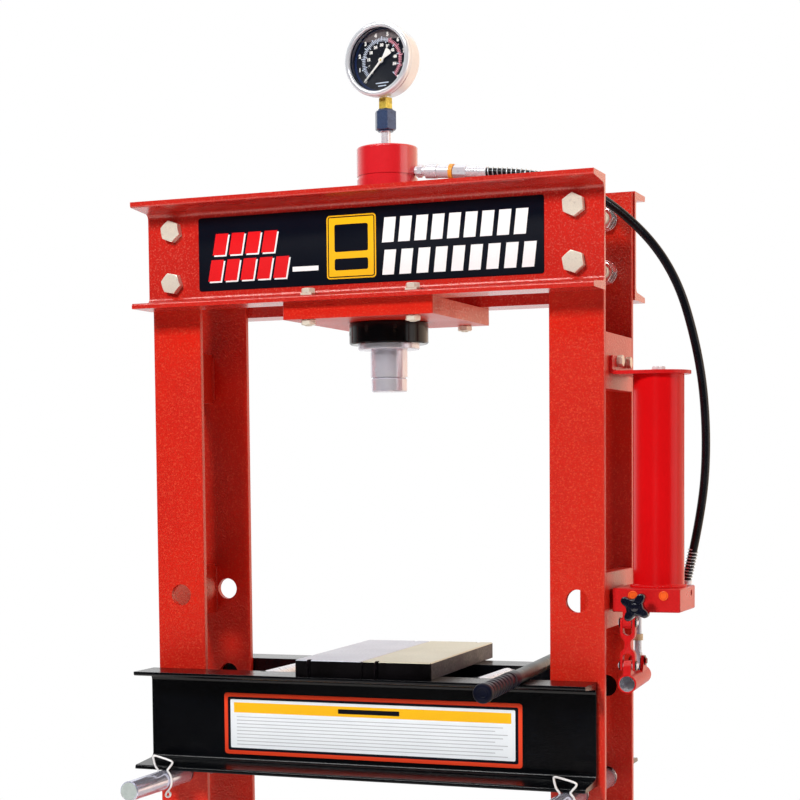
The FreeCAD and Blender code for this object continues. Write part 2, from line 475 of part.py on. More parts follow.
# release knob: four lobes on a short stem
kx, kz = 400.5, T - 604.5
lob = [cyl((kx, -100.0, kz), (0, 1, 0), 12.5, 14.0)]
for k in range(4):
    b = math.radians(57.0 + 90 * k)
    lob.append(cyl((kx + 16.5 * math.cos(b), -100.0, kz + 16.5 * math.sin(b)), (0, 1, 0), 6.2, 14.0))
    n_, m_ = V(math.cos(b), 0, math.sin(b)), V(-math.sin(b), 0, math.cos(b))
    q = V(kx, -100.0, kz)
    lob.append(poly([tuple(q + m_ * 8.5), tuple(q + n_ * 16.5 + m_ * 6.2), tuple(q + n_ * 16.5 - m_ * 6.2), tuple(q - m_ * 8.5)], (0, 14.0, 0)))
kb = lob[0].fuse(lob[1:]).removeSplitter()
kb = kb.fuse([cyl((kx, -86.0, kz), (0, 1, 0), 9.0, 8.0)]).removeSplitter()
stm = cyl((kx, -86.0, kz), (0, 1, 0), 5.0, 50.0)
kb = kb.cut(cyl((kx, -86.0, kz), (0, 1, 0), 5.0, 50.0))
put("release_knob", kb, stm)
# plunger with a slotted eye
py, pz = PIV_P
pl = Part.makeCylinder(5.0, BLK_Z0 + 22.0 - (pz + 9.0), V(LX, py, pz + 9.0), V(0, 0, 1))
eye = box(LX - 4.5, py - 9.0, pz - 9.0, LX + 4.5, py + 9.0, pz + 12.0)
eye = fil(eye, 4.5, lambda e, c: along(e, (1, 0, 0)))
slot = box(LX - 6, py - 1.6, pz - 4.6, LX + 6, py + 1.6, pz + 4.6).fuse([cyl((LX - 6, py - 1.6, pz), (1, 0, 0), 4.6, 12), cyl((LX - 6, py + 1.6, pz), (1, 0, 0), 4.6, 12)])
pl = pl.fuse([eye, Part.makeCylinder(7.2, 9.0, V(LX, py, T - 660.0), V(0, 0, 1))]).removeSplitter().cut(slot)
put("pump_plunger", pl)
# link arm with its two pins and clips
ay, az = PIV_A; by, bz_ = PIV_B
def fork_plate(x0, top):
    if top:
        return poly([(x0, ay - 7, az), (x0, ay - 4.5, az + 5.6), (x0, ay + 4.5, az + 5.6), (x0, ay + 7, az), (x0, ay + 5.5, az - 17), (x0, ay + 5.5, az - 23),
                     (x0, ay - 5.5, az - 23), (x0, ay - 5.5, az - 17)], (3.8, 0, 0))
    return poly([(x0, by + 5.5, bz_ + 22), (x0, by + 5.5, bz_ + 16), (x0, by + 8, bz_), (x0, by + 4.5, bz_ - 7), (x0, by - 4.5, bz_ - 7), (x0, by - 8, bz_),
                 (x0, by - 5.5, bz_ + 16), (x0, by - 5.5, bz_ + 22)], (3.8, 0, 0))
lp = [fork_plate(x, top) for x in (LX - 10.8, LX + 7.0) for top in (True, False)]
lp += [box(LX - 10.8, ay - 5.5, az - 23.0, LX + 10.8, ay + 5.5, az - 17.0), box(LX - 10.8, ay - 5.5, bz_ + 16.0, LX + 10.8, ay + 5.5, bz_ + 22.0),
       box(LX - 4.8, ay - 5.5, bz_ + 16.0, LX + 4.8, ay + 5.5, az - 17.0)]
lk2 = lp[0].fuse(lp[1:]).removeSplitter().cut([cyl((LX - 20, ay, az), (1, 0, 0), 4.0, 40), cyl((LX - 20, by, bz_), (1, 0, 0), 4.0, 40)])
pins = []
for (y, z) in (PIV_A, PIV_B):
    pins.append(cyl((LX - 14.5, y, z), (1, 0, 0), 4.0, 29.0))
    pins.append(washer((LX - 12.6, y, z), (1, 0, 0), 6.4, 4.0, 1.4))
    pins.append(washer((LX + 11.2, y, z), (1, 0, 0), 6.4, 4.0, 1.4))
put("link_arm", lk2, pins)
# handle socket with front ear and rear clevis; its bore is tipped down 3 degrees to the front
SO_R, SI_R, S_TILT = 13.5, 11.2, 3.0
sz = T - 714.3
so = cyl((LX, -58.0, sz), (0, 1, 0), SO_R, 94.0)
ear = poly([(LX - 5.6, by - 9, sz + 9.0), (LX - 5.6, by - 8, bz_), (LX - 5.6, by - 4.5, bz_ + 7.5), (LX - 5.6, by + 4.5, bz_ + 7.5), (LX - 5.6, by + 8, bz_), (LX - 5.6, by + 14, sz + 9.0)], (11.2, 0, 0))
def cle(x0):
    return poly([(x0, py - 15, sz + 6.0), (x0, py - 8, pz), (x0, py - 4.5, pz + 8), (x0, py + 4.5, pz + 8), (x0, py + 8, pz), (x0, py + 15, sz + 6.0)], (4.4, 0, 0))
def tilt(s):
    s = s.copy()
    s.rotate(V(LX, 0, sz), V(1, 0, 0), S_TILT)
    return s
so = tilt(so).fuse([ear, cle(LX - 10.2), cle(LX + 5.8)]).removeSplitter()
so = so.cut([tilt(cyl((LX, -60.0, sz), (0, 1, 0), SI_R, 94.0)), cyl((LX - 20, by, bz_), (1, 0, 0), 4.06, 40), cyl((LX - 20, py, pz), (1, 0, 0), 4.0, 40),
            box(LX - 5.8, py - 15.5, pz - 13.0, LX + 5.8, py + 15.5, pz + 30)])
so = so.fuse([]) if False else so
pp2 = [cyl((LX - 13.5, py, pz), (1, 0, 0), 4.0, 27.0), washer((LX - 11.7, py, pz), (1, 0, 0), 6.4, 4.0, 1.4), washer((LX + 10.3, py, pz), (1, 0, 0), 6.4, 4.0, 1.4)]
put("handle_socket", so, pp2)

# ---------------------------------------------------------------- bed
def bed(s):
    return channel(s * BED_Y, s, BED_X0, BED_X1, BED_TOP, BED_H, BED_B, BED_W, BED_TIP, BED_ROOT, 8.0, 3.5)
put("bed_channel_front", bed(-1))
put("bed_channel_rear", bed(1))
# welded spacers between the two channels: a tube stepped down at the rear
SP_X, SP_Z, SP_R = (-176.0, 166.0), BED_TOP - 14.6, 14.0
tb = []
for x in SP_X:
    t_ = cyl((x, -BED_Y, SP_Z), (0, 1, 0), SP_R, BED_Y + 62.0)
    t_ = cham(t_, 1.5, lambda e, c: near(c.y, 62.0))
    tb.append(t_.fuse(cyl((x, 62.0, SP_Z), (0, 1, 0), 9.0, BED_Y - 62.0)).removeSplitter())
put("bed_spacers", tb)
lb = box(-239.0, -BED_Y - BED_W - 1.2, T - 840.5, 237.0, -BED_Y - BED_W, T - 746.0)
lb = fil(lb, 6.0, lambda e, c: along(e, (0, 1, 0)))
put("bed_label_plate", lb)

# ---------------------------------------------------------------- bed pins and their clips
def pin(sx):
    p = cyl((sx * XC, PIN_Y0, PIN_Z), (0, 1, 0), PIN_R, PIN_Y1 - PIN_Y0)
    p = cham(p, 1.5, lambda e, c: near(e.Length, 2 * math.pi * PIN_R, 0.5))
    return p.cut([cyl((sx * XC - 5.0, s * 163.5, PIN_Z - 20), (0, 0, 1), 2.0, 40) for s in (-1, 1)])
def clip(sx, s):
    q = [(-5, -18), (-5, 15.5), (-9.5, 18), (-14, 36), (-11, 38), (17, 33.5), (20, 30.5), (8.8, 16.6), (12.6, 12.2), (16.0, 6.4), (16.9, -1.0),
         (15.4, -8.6), (11.8, -13.2), (7.3, -17.4), (6.8, -21.6), (9.8, -24.2), (13.4, -22.6), (14.0, -18.6)]
    return rod_chain([(sx * XC + dx, s * 163.5, PIN_Z + dz) for dx, dz in q], 1.6)
for sx, nm in ((-1, "left"), (1, "right")):
    put("bed_pin_" + nm, pin(sx))
    put("pin_clips_" + nm, [clip(sx, s) for s in (-1, 1)])

# ---------------------------------------------------------------- arbor plates, laid a little askew
def arbor(x0, x1):
    b = box(x0, -143.0, BED_TOP, x1, 197.0, BED_TOP + 25.0)
    b = cham(b, 1.5, lambda e, c: near(c.z, BED_TOP + 25.0) or along(e, (0, 0, 1)))
    cuts = []
    for x, y, d in ((x0 + 22.0, -143.0, 1), (x1 - 23.0, 197.0, -1)):      # one lifting slot in each end
        e = y + d * SLOT_L
        cuts.append(box(x - SLOT_W / 2, min(y - d, e), BED_TOP - 1, x + SLOT_W / 2, max(y - d, e), BED_TOP + 30))
        cuts.append(cyl((x, e, BED_TOP - 1), (0, 0, 1), SLOT_W / 2, 31.0))
    b = b.cut(cuts)
    b.rotate(V(0, 27.0, 0), V(0, 0, 1), 2.4)
    return b
put("arbor_plate_left", arbor(-105.5, -0.3))
put("arbor_plate_right", arbor(0.3, 105.5))

# ---------------------------------------------------------------- pump handle lying across the bed
HA, HB = V(260.4, -357.0, BED_TOP + HANDLE_R + 0.05), V(229.0 - 0.0724 * 163.5, 241.0, BED_TOP + HANDLE_R + 0.05)
hd_ = unit(HB - HA)
def hat(l):
    q = HA + hd_ * l
    return (q.x, q.y, q.z)
HL = (HB - HA).Length
ht = cyl(hat(6.0), tuple(hd_), HANDLE_R, HL - 6.0).cut(cyl(hat(6.0), tuple(hd_), HANDLE_R - 2.2, HL))
put("pump_handle", ht)
gp = cyl(hat(0.0), tuple(hd_), 13.6, 14.0)
gp = fil(gp, 3.0, lambda e, c: near(e.Length, 2 * math.pi * 13.6, 0.6) and e.Curve.TypeId.endswith("Circle") and c.y < -350.0)
gp = gp.fuse([cyl(hat(14.0), tuple(hd_), 12.6, 142.0), cyl(hat(156.0), tuple(hd_), 12.0, 30.0)]).removeSplitter().cut(cyl(hat(6.0), tuple(hd_), HANDLE_R, 400.0))
put("handle_grip", gp)

bb_ = Part.makeCompound(list(NODES.values())).BoundBox
print(len(NODES), "nodes; box", [round(v, 1) for v in (bb_.XMin, bb_.YMin, bb_.ZMin, bb_.XMax, bb_.YMax, bb_.ZMax)])
# linkage check: gap between the plunger pin and its eye over the travel
for deg in (0, -7, -14, -21, -28, 4):
    psi = math.radians(deg * 1.193)
    phi = -0.162 * psi
    th = psi + phi
    By, Bz = ay + 62 * math.sin(phi), az - 62 * math.cos(phi)
    ly, lz = py - by, pz - bz_
    Py, Pz = By + ly * math.cos(th) - lz * math.sin(th), Bz + ly * math.sin(th) + lz * math.cos(th)
    print("pump", deg, "pin offset in eye y %.2f z %.2f" % (Py - py, Pz - (pz + 49.0 * psi)))
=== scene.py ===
import bpy, bmesh, math
from mathutils import Vector as V, Matrix, noise


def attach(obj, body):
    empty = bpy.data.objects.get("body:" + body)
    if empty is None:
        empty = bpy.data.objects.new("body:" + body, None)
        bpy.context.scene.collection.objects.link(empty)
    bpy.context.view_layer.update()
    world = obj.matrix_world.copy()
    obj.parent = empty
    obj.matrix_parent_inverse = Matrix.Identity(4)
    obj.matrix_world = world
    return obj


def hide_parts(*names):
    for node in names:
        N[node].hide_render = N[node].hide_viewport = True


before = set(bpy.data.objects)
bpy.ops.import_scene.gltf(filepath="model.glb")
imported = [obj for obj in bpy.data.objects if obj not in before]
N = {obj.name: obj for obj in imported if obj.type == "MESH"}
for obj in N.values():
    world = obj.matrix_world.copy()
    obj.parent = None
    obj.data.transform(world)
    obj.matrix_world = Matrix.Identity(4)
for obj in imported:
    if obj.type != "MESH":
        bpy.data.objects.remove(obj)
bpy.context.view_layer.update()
SC = bpy.context.scene
T = 1.550
PI = math.pi

# =============================================================== camera
yaw, pitch, roll = (math.radians(a) for a in (22.770946, -3.765557, -0.671953))
fwd = V((-math.sin(yaw) * math.cos(pitch), math.cos(yaw) * math.cos(pitch), math.sin(pitch)))
r0 = V((math.cos(yaw), math.sin(yaw), 0.0))
u0 = r0.cross(fwd)
rt = r0 * math.cos(roll) + u0 * math.sin(roll)
up = u0 * math.cos(roll) - r0 * math.sin(roll)
cd = bpy.data.cameras.new("camera")
cam = bpy.data.objects.new("camera", cd)
SC.collection.objects.link(cam)
cam.matrix_world = Matrix(((rt.x, up.x, -fwd.x, 1.015080), (rt.y, up.y, -fwd.y, -2.691061),
                           (rt.z, up.z, -fwd.z, 1.138868), (0, 0, 0, 1)))
cd.sensor_width = 36.0
cd.lens = 84.6002
cd.shift_x, cd.shift_y = 0.096976, 0.245964
cd.clip_start, cd.clip_end = 0.05, 60.0
SC.camera = cam
SC.view_settings.view_transform = "Standard"

# =============================================================== materials
def inp(b, name, v):
    if name in b.inputs:
        b.inputs[name].default_value = v

def surface(name, c1, c2=None, rough=(0.35, 0.45), metal=0.0, coarse=9.0, fine=600.0, fine_amt=0.35, bump=0.0, bump_scale=600.0,
            bump_dist=0.0004, coat=0.0, coat_r=0.1, spec=0.5, stretch=None, alpha=1.0, c3=None, spots=0.0, spot_scale=60.0, spot_at=(0.60, 0.70), tint=None):
    """Procedural finish: two-scale colour change, uneven roughness, fine relief, and a few darker or lighter marks."""
    m = bpy.data.materials.new(name)
    m.use_nodes = True
    nt = m.node_tree
    nt.nodes.clear()
    L = nt.links.new
    out = nt.nodes.new("ShaderNodeOutputMaterial")
    b = nt.nodes.new("ShaderNodeBsdfPrincipled")
    L(b.outputs[0], out.inputs[0])
    tc = nt.nodes.new("ShaderNodeTexCoord")
    src = tc.outputs["Object"]
    if stretch:
        mp = nt.nodes.new("ShaderNodeMapping")
        mp.inputs["Scale"].default_value = stretch
        L(src, mp.inputs[0])
        fsrc = mp.outputs[0]
    else:
        fsrc = src
    def nz(s, detail, where):
        n = nt.nodes.new("ShaderNodeTexNoise")
        n.inputs["Scale"].default_value = s
        n.inputs["Detail"].default_value = detail
        L(where, n.inputs["Vector"])
        return n.outputs[0]
    def rng(v, a0, a1, b0, b1):
        r = nt.nodes.new("ShaderNodeMapRange")
        r.inputs[1].default_value, r.inputs[2].default_value = a0, a1
        r.inputs[3].default_value, r.inputs[4].default_value = b0, b1
        L(v, r.inputs[0])
        return r.outputs[0]
    def mix(f, a, c):
        x = nt.nodes.new("ShaderNodeMix")
        x.data_type = "RGBA"
        L(f, x.inputs[0])
        for sock, val in ((x.inputs[6], a), (x.inputs[7], c)):
            if isinstance(val, (tuple, list)):
                sock.default_value = (*val[:3], 1.0)
            else:
                L(val, sock)
        return x.outputs[2]
    c2 = c2 or tuple(v * 0.8 for v in c1)
    nc, nf = nz(coarse, 3.0, src), nz(fine, 2.0, fsrc)
    col = mix(rng(nc, 0.35, 0.65, 0.0, 0.5), c1, c2)
    col = mix(rng(nf, 0.42, 0.62, 0.0, fine_amt), col, c2)
    if c3:
        col = mix(rng(nz(spot_scale, 4.0, fsrc), spot_at[0], spot_at[1], 0.0, spots), col, c3)
    L(col, b.inputs["Base Color"])
    L(rng(nc, 0.3, 0.7, rough[0], rough[1]), b.inputs["Roughness"])
    inp(b, "Metallic", metal)
    inp(b, "Specular IOR Level", spec)
    inp(b, "Coat Weight", coat)
    inp(b, "Coat Roughness", coat_r)
    inp(b, "Alpha", alpha)
    if tint:
        inp(b, "Specular Tint", (*tint, 1.0))
    if bump:
        bp = nt.nodes.new("ShaderNodeBump")
        bp.inputs["Strength"].default_value = bump
        bp.inputs["Distance"].default_value = bump_dist
        L(nz(bump_scale, 2.0, fsrc), bp.inputs["Height"])
        L(bp.outputs[0], b.inputs["Normal"])
    m.diffuse_color = (*c1[:3], 1)
    return m

RED = surface("powder_red", (0.64, 0.016, 0.006), (0.46, 0.006, 0.004), rough=(0.30, 0.40), coarse=5, fine=390, fine_amt=0.75,
              bump=0.80, bump_scale=330, bump_dist=0.0011, c3=(0.78, 0.066, 0.028), spots=0.60, spot_scale=390, spot_at=(0.50, 0.66),
              coat=0.04, coat_r=0.22, spec=0.55, tint=(1.0, 0.84, 0.68))
# painted sheen: a lighter, pinker red with pale flecks, standing in for the glossy highlight on the press plate's
# right-facing side
RED_SIDE_SHEEN = surface("powder_red_painted_side_sheen", (0.72, 0.085, 0.050), (0.54, 0.040, 0.026), rough=(0.34, 0.46), coarse=30, fine=260, fine_amt=0.85,
               bump=0.90, bump_scale=300, bump_dist=0.0012, c3=(0.86, 0.34, 0.24), spots=0.7, spot_scale=260, spot_at=(0.52, 0.66), spec=1.0,
               tint=(1.0, 0.86, 0.74))
REDB = surface("powder_red_beam", (0.60, 0.018, 0.010), (0.41, 0.007, 0.006), rough=(0.22, 0.30), coarse=5, fine=380, fine_amt=0.8,
               bump=0.60, bump_scale=330, bump_dist=0.0010, c3=(0.80, 0.095, 0.060), spots=0.60, spot_scale=380, spot_at=(0.51, 0.66), coat=0.25, coat_r=0.14, spec=0.8,
               tint=(1.0, 0.90, 0.82))
RED2 = surface("powder_red_block", (0.60, 0.011, 0.012), (0.46, 0.007, 0.009), rough=(0.26, 0.34), coarse=9, fine=380, fine_amt=0.5,
               bump=0.4, bump_scale=400, bump_dist=0.0006, coat=0.0, coat_r=0.2, spec=0.26, tint=(1.0, 0.84, 0.76))
GLOSS = surface("gloss_red", (0.62, 0.004, 0.006), (0.52, 0.003, 0.004), rough=(0.20, 0.28), coarse=7, fine=90, fine_amt=0.15,
                bump=0.06, bump_scale=140, bump_dist=0.0006, coat=0.08, coat_r=0.10, spec=0.16)
GLOSSB = surface("gloss_red_barrel", (0.70, 0.016, 0.024), (0.58, 0.009, 0.014), rough=(0.22, 0.30), coarse=7, fine=90, fine_amt=0.15,
                 bump=0.10, bump_scale=140, bump_dist=0.0006, coat=1.0, coat_r=0.16)
BLACK = surface("gloss_black", (0.0008, 0.0009, 0.0014), (0.0020, 0.0025, 0.0038), rough=(0.18, 0.26), coarse=6, fine=420, fine_amt=0.5,
                bump=0.26, bump_scale=420, bump_dist=0.0006, coat=0.10, coat_r=0.12, c3=(0.008, 0.012, 0.020), spots=0.4, spot_scale=300, spec=0.28)
ZINC = surface("zinc_plate", (0.88, 0.80, 0.66), (0.74, 0.68, 0.58), rough=(0.34, 0.46), metal=0.30, coarse=70, fine=500, fine_amt=0.5,
               bump=0.14, bump_scale=700, bump_dist=0.0003, c3=(0.60, 0.52, 0.44), spots=0.45, spot_scale=200)
NUTM = surface("chromed_nut", (0.92, 0.91, 0.93), (0.76, 0.75, 0.80), rough=(0.10, 0.18), metal=0.9, coarse=70, fine=500, fine_amt=0.4,
               bump=0.06, bump_scale=500, bump_dist=0.0002)
ZINCB = surface("zinc_bright", (0.88, 0.90, 0.94), (0.70, 0.72, 0.80), rough=(0.24, 0.34), metal=0.40, coarse=60, fine=420, fine_amt=0.5,
                bump=0.12, bump_scale=300, bump_dist=0.0003, stretch=(1, 0.12, 1), c3=(0.52, 0.50, 0.62), spots=0.4, spot_scale=200)
PALE = surface("plunger_steel", (0.56, 0.62, 0.70), (0.42, 0.47, 0.56), rough=(0.26, 0.36), metal=0.30, coarse=60, fine=420, fine_amt=0.5,
               bump=0.10, bump_scale=300, bump_dist=0.0003, stretch=(1, 1, 0.15))
OXIDE = surface("black_oxide", (0.0022, 0.0022, 0.0030), (0.0050, 0.0050, 0.0070), rough=(0.14, 0.22), metal=0.2, coarse=50, fine=600, fine_amt=0.4,
                bump=0.06, bump_scale=500, bump_dist=0.0003, coat=0.15, coat_r=0.1, spec=0.25)
BLUED = surface("blued_steel", (0.050, 0.085, 0.180), (0.028, 0.048, 0.115), rough=(0.26, 0.40), metal=0.25, coarse=120, fine=500, fine_amt=0.6,
                bump=0.16, bump_scale=500, bump_dist=0.0004, coat=0.3, coat_r=0.2, c3=(0.012, 0.018, 0.050), spots=0.5, spot_scale=160)
CHROME = surface("hard_chrome", (0.82, 0.82, 0.88), (0.66, 0.64, 0.76), rough=(0.16, 0.26), metal=0.55, coarse=30, fine=500, fine_amt=0.4,
                 bump=0.05, bump_scale=260, bump_dist=0.0003, stretch=(1, 1, 9.0))
CHROMEG = surface("polished_case", (0.86, 0.89, 0.93), (0.76, 0.79, 0.85), rough=(0.12, 0.20), metal=0.45, coarse=40, fine=400, fine_amt=0.3,
                  bump=0.02, bump_scale=200, bump_dist=0.0003)
PINST = surface("bright_pin", (0.78, 0.80, 0.92), (0.60, 0.62, 0.82), rough=(0.14, 0.22), metal=0.72, coarse=40, fine=600, fine_amt=0.5,
                bump=0.05, bump_scale=500, bump_dist=0.0002, stretch=(1, 6, 1), c3=(0.36, 0.30, 0.52), spots=0.45, spot_scale=60)
PINEND = surface("sawn_pin_end", (0.50, 0.56, 0.54), (0.38, 0.43, 0.42), rough=(0.45, 0.6), metal=0.2, coarse=120, fine=900, fine_amt=0.6,
                 bump=0.3, bump_scale=800, bump_dist=0.0003)
MACH = surface("ground_steel_cool", (0.66, 0.70, 0.78), (0.50, 0.54, 0.62), rough=(0.36, 0.48), metal=0.25, coarse=8, fine=300, fine_amt=0.6,
               bump=0.16, bump_scale=330, bump_dist=0.0004, c3=(0.40, 0.42, 0.50), spots=0.45, spot_scale=240)
MACH2 = surface("ground_steel_warm", (0.68, 0.66, 0.50), (0.54, 0.53, 0.42), rough=(0.36, 0.48), metal=0.25, coarse=8, fine=300, fine_amt=0.6,
                bump=0.16, bump_scale=330, bump_dist=0.0004, c3=(0.56, 0.56, 0.40), spots=0.45, spot_scale=30)
SCALE = surface("black_scale", (0.0008, 0.0006, 0.0007), (0.0040, 0.0030, 0.0040), rough=(0.34, 0.50), metal=0.0, coarse=30, fine=380, fine_amt=0.6,
                bump=0.35, bump_scale=380, bump_dist=0.0006, spec=0.10)
# painted side light: a greyer, glossier black for the right-facing side faces, standing in for the light falling on
# them from the right
SCALE_SIDE_LIT = surface("black_scale_painted_side_light", (0.010, 0.008, 0.012), (0.070, 0.055, 0.075), rough=(0.45, 0.60), metal=0.2, coarse=30, fine=300, fine_amt=0.9,
                 bump=0.5, bump_scale=330, bump_dist=0.0008, c3=(0.012, 0.010, 0.016), spots=0.7, spot_scale=260, spec=0.35)
BRASS = surface("brass", (0.86, 0.66, 0.12), (0.60, 0.42, 0.05), rough=(0.30, 0.42), metal=0.45, coarse=120, fine=400, fine_amt=0.7,
                bump=0.12, bump_scale=400, bump_dist=0.0003, c3=(0.30, 0.19, 0.03), spots=0.5, spot_scale=160)
TAN = surface("tan_collar", (0.66, 0.55, 0.34), (0.52, 0.42, 0.25), rough=(0.42, 0.52), metal=0.1, coarse=90, fine=700, fine_amt=0.4,
              bump=0.1, bump_scale=700, bump_dist=0.0002)
HOSE = surface("hose_rubber", (0.0022, 0.0026, 0.0040), (0.0050, 0.0060, 0.0095), rough=(0.22, 0.32), coarse=40, fine=700, fine_amt=0.5,
               bump=0.10, bump_scale=700, bump_dist=0.0003, coat=0.05, coat_r=0.2, spec=0.22)
GRIP = surface("grip_rubber", (0.0016, 0.0020, 0.0050), (0.0060, 0.0075, 0.0220), rough=(0.28, 0.40), coarse=40, fine=700, fine_amt=0.5,
               bump=0.16, bump_scale=900, bump_dist=0.0003, coat=0.0, coat_r=0.3, spec=0.14)
KNOB = surface("knob_plastic", (0.0020, 0.0024, 0.0075), (0.0045, 0.0050, 0.0160), rough=(0.16, 0.26), coarse=60, fine=700, fine_amt=0.4,
               bump=0.08, bump_scale=500, bump_dist=0.0003, coat=0.5, coat_r=0.12)
ORANGE = surface("orange_cap", (0.93, 0.13, 0.008), (0.80, 0.085, 0.006), rough=(0.34, 0.44), coarse=60, fine=700, fine_amt=0.4,
                 bump=0.08, bump_scale=500, bump_dist=0.0002, coat=0.15)
ORANGED = surface("orange_cap_rim", (0.70, 0.055, 0.006), (0.60, 0.040, 0.005), rough=(0.34, 0.44), coarse=60, fine=700, fine_amt=0.4,
                  bump=0.08, bump_scale=500, bump_dist=0.0002)
AMBER = surface("amber_seal", (0.93, 0.40, 0.05), (0.82, 0.30, 0.03), rough=(0.34, 0.46), coarse=90, fine=800, fine_amt=0.4,
                bump=0.08, bump_scale=500, bump_dist=0.0002)
SPRING = surface("spring_wire", (0.74, 0.80, 0.84), (0.44, 0.52, 0.58), rough=(0.20, 0.30), metal=0.6, coarse=120, fine=700, fine_amt=0.5,
                 bump=0.05, bump_scale=900, bump_dist=0.0001)
WIRE = surface("plated_wire", (0.94, 0.93, 0.92), (0.82, 0.80, 0.80), rough=(0.30, 0.40), metal=0.2, coarse=90, fine=700, fine_amt=0.4,
               bump=0.05, bump_scale=700, bump_dist=0.0001)
TUBE = surface("handle_paint", (0.026, 0.040, 0.036), (0.012, 0.020, 0.019), rough=(0.30, 0.40), metal=0.0, coarse=14, fine=380, fine_amt=0.6,
               bump=0.16, bump_scale=380, bump_dist=0.0005, c3=(0.26, 0.22, 0.15), spots=0.5, spot_scale=80, coat=0.05, coat_r=0.2, spec=0.3)
PANEL = surface("panel_film", (0.0022, 0.0034, 0.0080), (0.0040, 0.0055, 0.0110), rough=(0.40, 0.48), coarse=8, fine=600, fine_amt=0.4,
                bump=0.03, bump_scale=900, bump_dist=0.0001, spec=0.14)
PRED = surface("print_red", (0.76, 0.010, 0.014), (0.66, 0.008, 0.012), rough=(0.38, 0.46), coarse=12, fine=500, fine_amt=0.3, bump=0.03, bump_scale=900, bump_dist=0.0001, spec=0.3)
PORED = surface("print_orange_red", (0.82, 0.060, 0.018), (0.72, 0.045, 0.014), rough=(0.38, 0.46), coarse=12, fine=500, fine_amt=0.3, bump=0.03, bump_scale=900, bump_dist=0.0001, spec=0.3)
PWHT = surface("print_white", (0.92, 0.92, 0.92), (0.84, 0.84, 0.84), rough=(0.38, 0.46), coarse=12, fine=500, fine_amt=0.3, bump=0.03, bump_scale=900, bump_dist=0.0001)
PCREAM = surface("print_cream", (0.86, 0.89, 0.92), (0.78, 0.82, 0.86), rough=(0.38, 0.46), coarse=12, fine=500, fine_amt=0.3, bump=0.03, bump_scale=900, bump_dist=0.0001)
PAMB = surface("print_amber", (0.93, 0.50, 0.010), (0.86, 0.44, 0.008), rough=(0.38, 0.46), coarse=12, fine=500, fine_amt=0.3, bump=0.03, bump_scale=900, bump_dist=0.0001, spec=0.3)
PGREY = surface("print_grey", (0.46, 0.47, 0.50), (0.40, 0.41, 0.44), rough=(0.38, 0.46), coarse=12, fine=500, fine_amt=0.3, bump=0.03, bump_scale=900, bump_dist=0.0001)
NEEDLE = surface("needle_white", (0.98, 0.96, 0.92), (0.90, 0.88, 0.82), rough=(0.35, 0.45), coarse=80, fine=900, fine_amt=0.3, bump=0.03, bump_scale=900, bump_dist=0.0001)
DIAL = surface("dial_black", (0.0012, 0.0012, 0.0022), (0.0022, 0.0026, 0.0050), rough=(0.45, 0.55), coarse=60, fine=900, fine_amt=0.3, bump=0.02, bump_scale=900, bump_dist=0.0001, spec=0.25)
# painted reflection: dark blue for a ring on the dial's outer edge, standing in for the glass reflecting the bezel rim
DIAL_RIM_REFLECTION = surface("dial_painted_rim_reflection", (0.010, 0.022, 0.085), (0.005, 0.012, 0.050), rough=(0.35, 0.45), coarse=60, fine=900, fine_amt=0.3, bump=0.02, bump_scale=900, bump_dist=0.0001, spec=0.3)
GREYLIQ = surface("dial_haze", (0.21, 0.175, 0.170), (0.090, 0.080, 0.085), rough=(0.35, 0.45), coarse=90, fine=260, fine_amt=0.6, bump=0.02, bump_scale=900, bump_dist=0.0001, spec=0.3)
PINK = surface("dial_red", (0.98, 0.42, 0.50), (0.90, 0.28, 0.36), rough=(0.38, 0.46), coarse=60, fine=900, fine_amt=0.3, bump=0.02, bump_scale=900, bump_dist=0.0001)
PBLUE = surface("dial_white", (0.78, 0.86, 0.98), (0.64, 0.74, 0.92), rough=(0.38, 0.46), coarse=60, fine=900, fine_amt=0.3, bump=0.02, bump_scale=900, bump_dist=0.0001)
CAPW = surface("filler_cap", (0.84, 0.82, 0.82), (0.66, 0.66, 0.70), rough=(0.30, 0.40), metal=0.2, coarse=60, fine=500, fine_amt=0.3, bump=0.06, bump_scale=700, bump_dist=0.0002)
GLASS = surface("gauge_glass", (0.03, 0.05, 0.10), (0.02, 0.035, 0.08), rough=(0.02, 0.04), coarse=10, fine=90, fine_amt=0.1, bump=0.01, bump_scale=40,
                bump_dist=0.0002, alpha=0.05, spec=0.5)

# =============================================================== mesh helpers
def add(name, me, mats, body, *replaced, slot=None):
    o = bpy.data.objects.new(name, me)
    SC.collection.objects.link(o)
    for m in (mats if isinstance(mats, (list, tuple)) else [mats]):
        me.materials.append(m)
    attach(o, body)
    if replaced:
        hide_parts(*replaced)
    return o

def mesh_of(name, verts, faces, idx=None, smooth=True, angle=32.0, fix=True):
    me = bpy.data.meshes.new(name)
    me.from_pydata([tuple(v) for v in verts], [], faces)
    if idx:
        for p, i in zip(me.polygons, idx):
            p.material_index = i
    if fix:
        bm = bmesh.new()
        bm.from_mesh(me)
        bmesh.ops.recalc_face_normals(bm, faces=bm.faces)
        bm.to_mesh(me)
        bm.free()
    for p in me.polygons:
        p.use_smooth = smooth
    if smooth:
        me.set_sharp_from_angle(angle=math.radians(angle))
    return me

def frame_of(axis):
    n = V(axis).normalized()
    a = V((0, 0, 1)) if abs(n.z) < 0.9 else V((1, 0, 0))
    x = a.cross(n).normalized()
    return x, n.cross(x), n

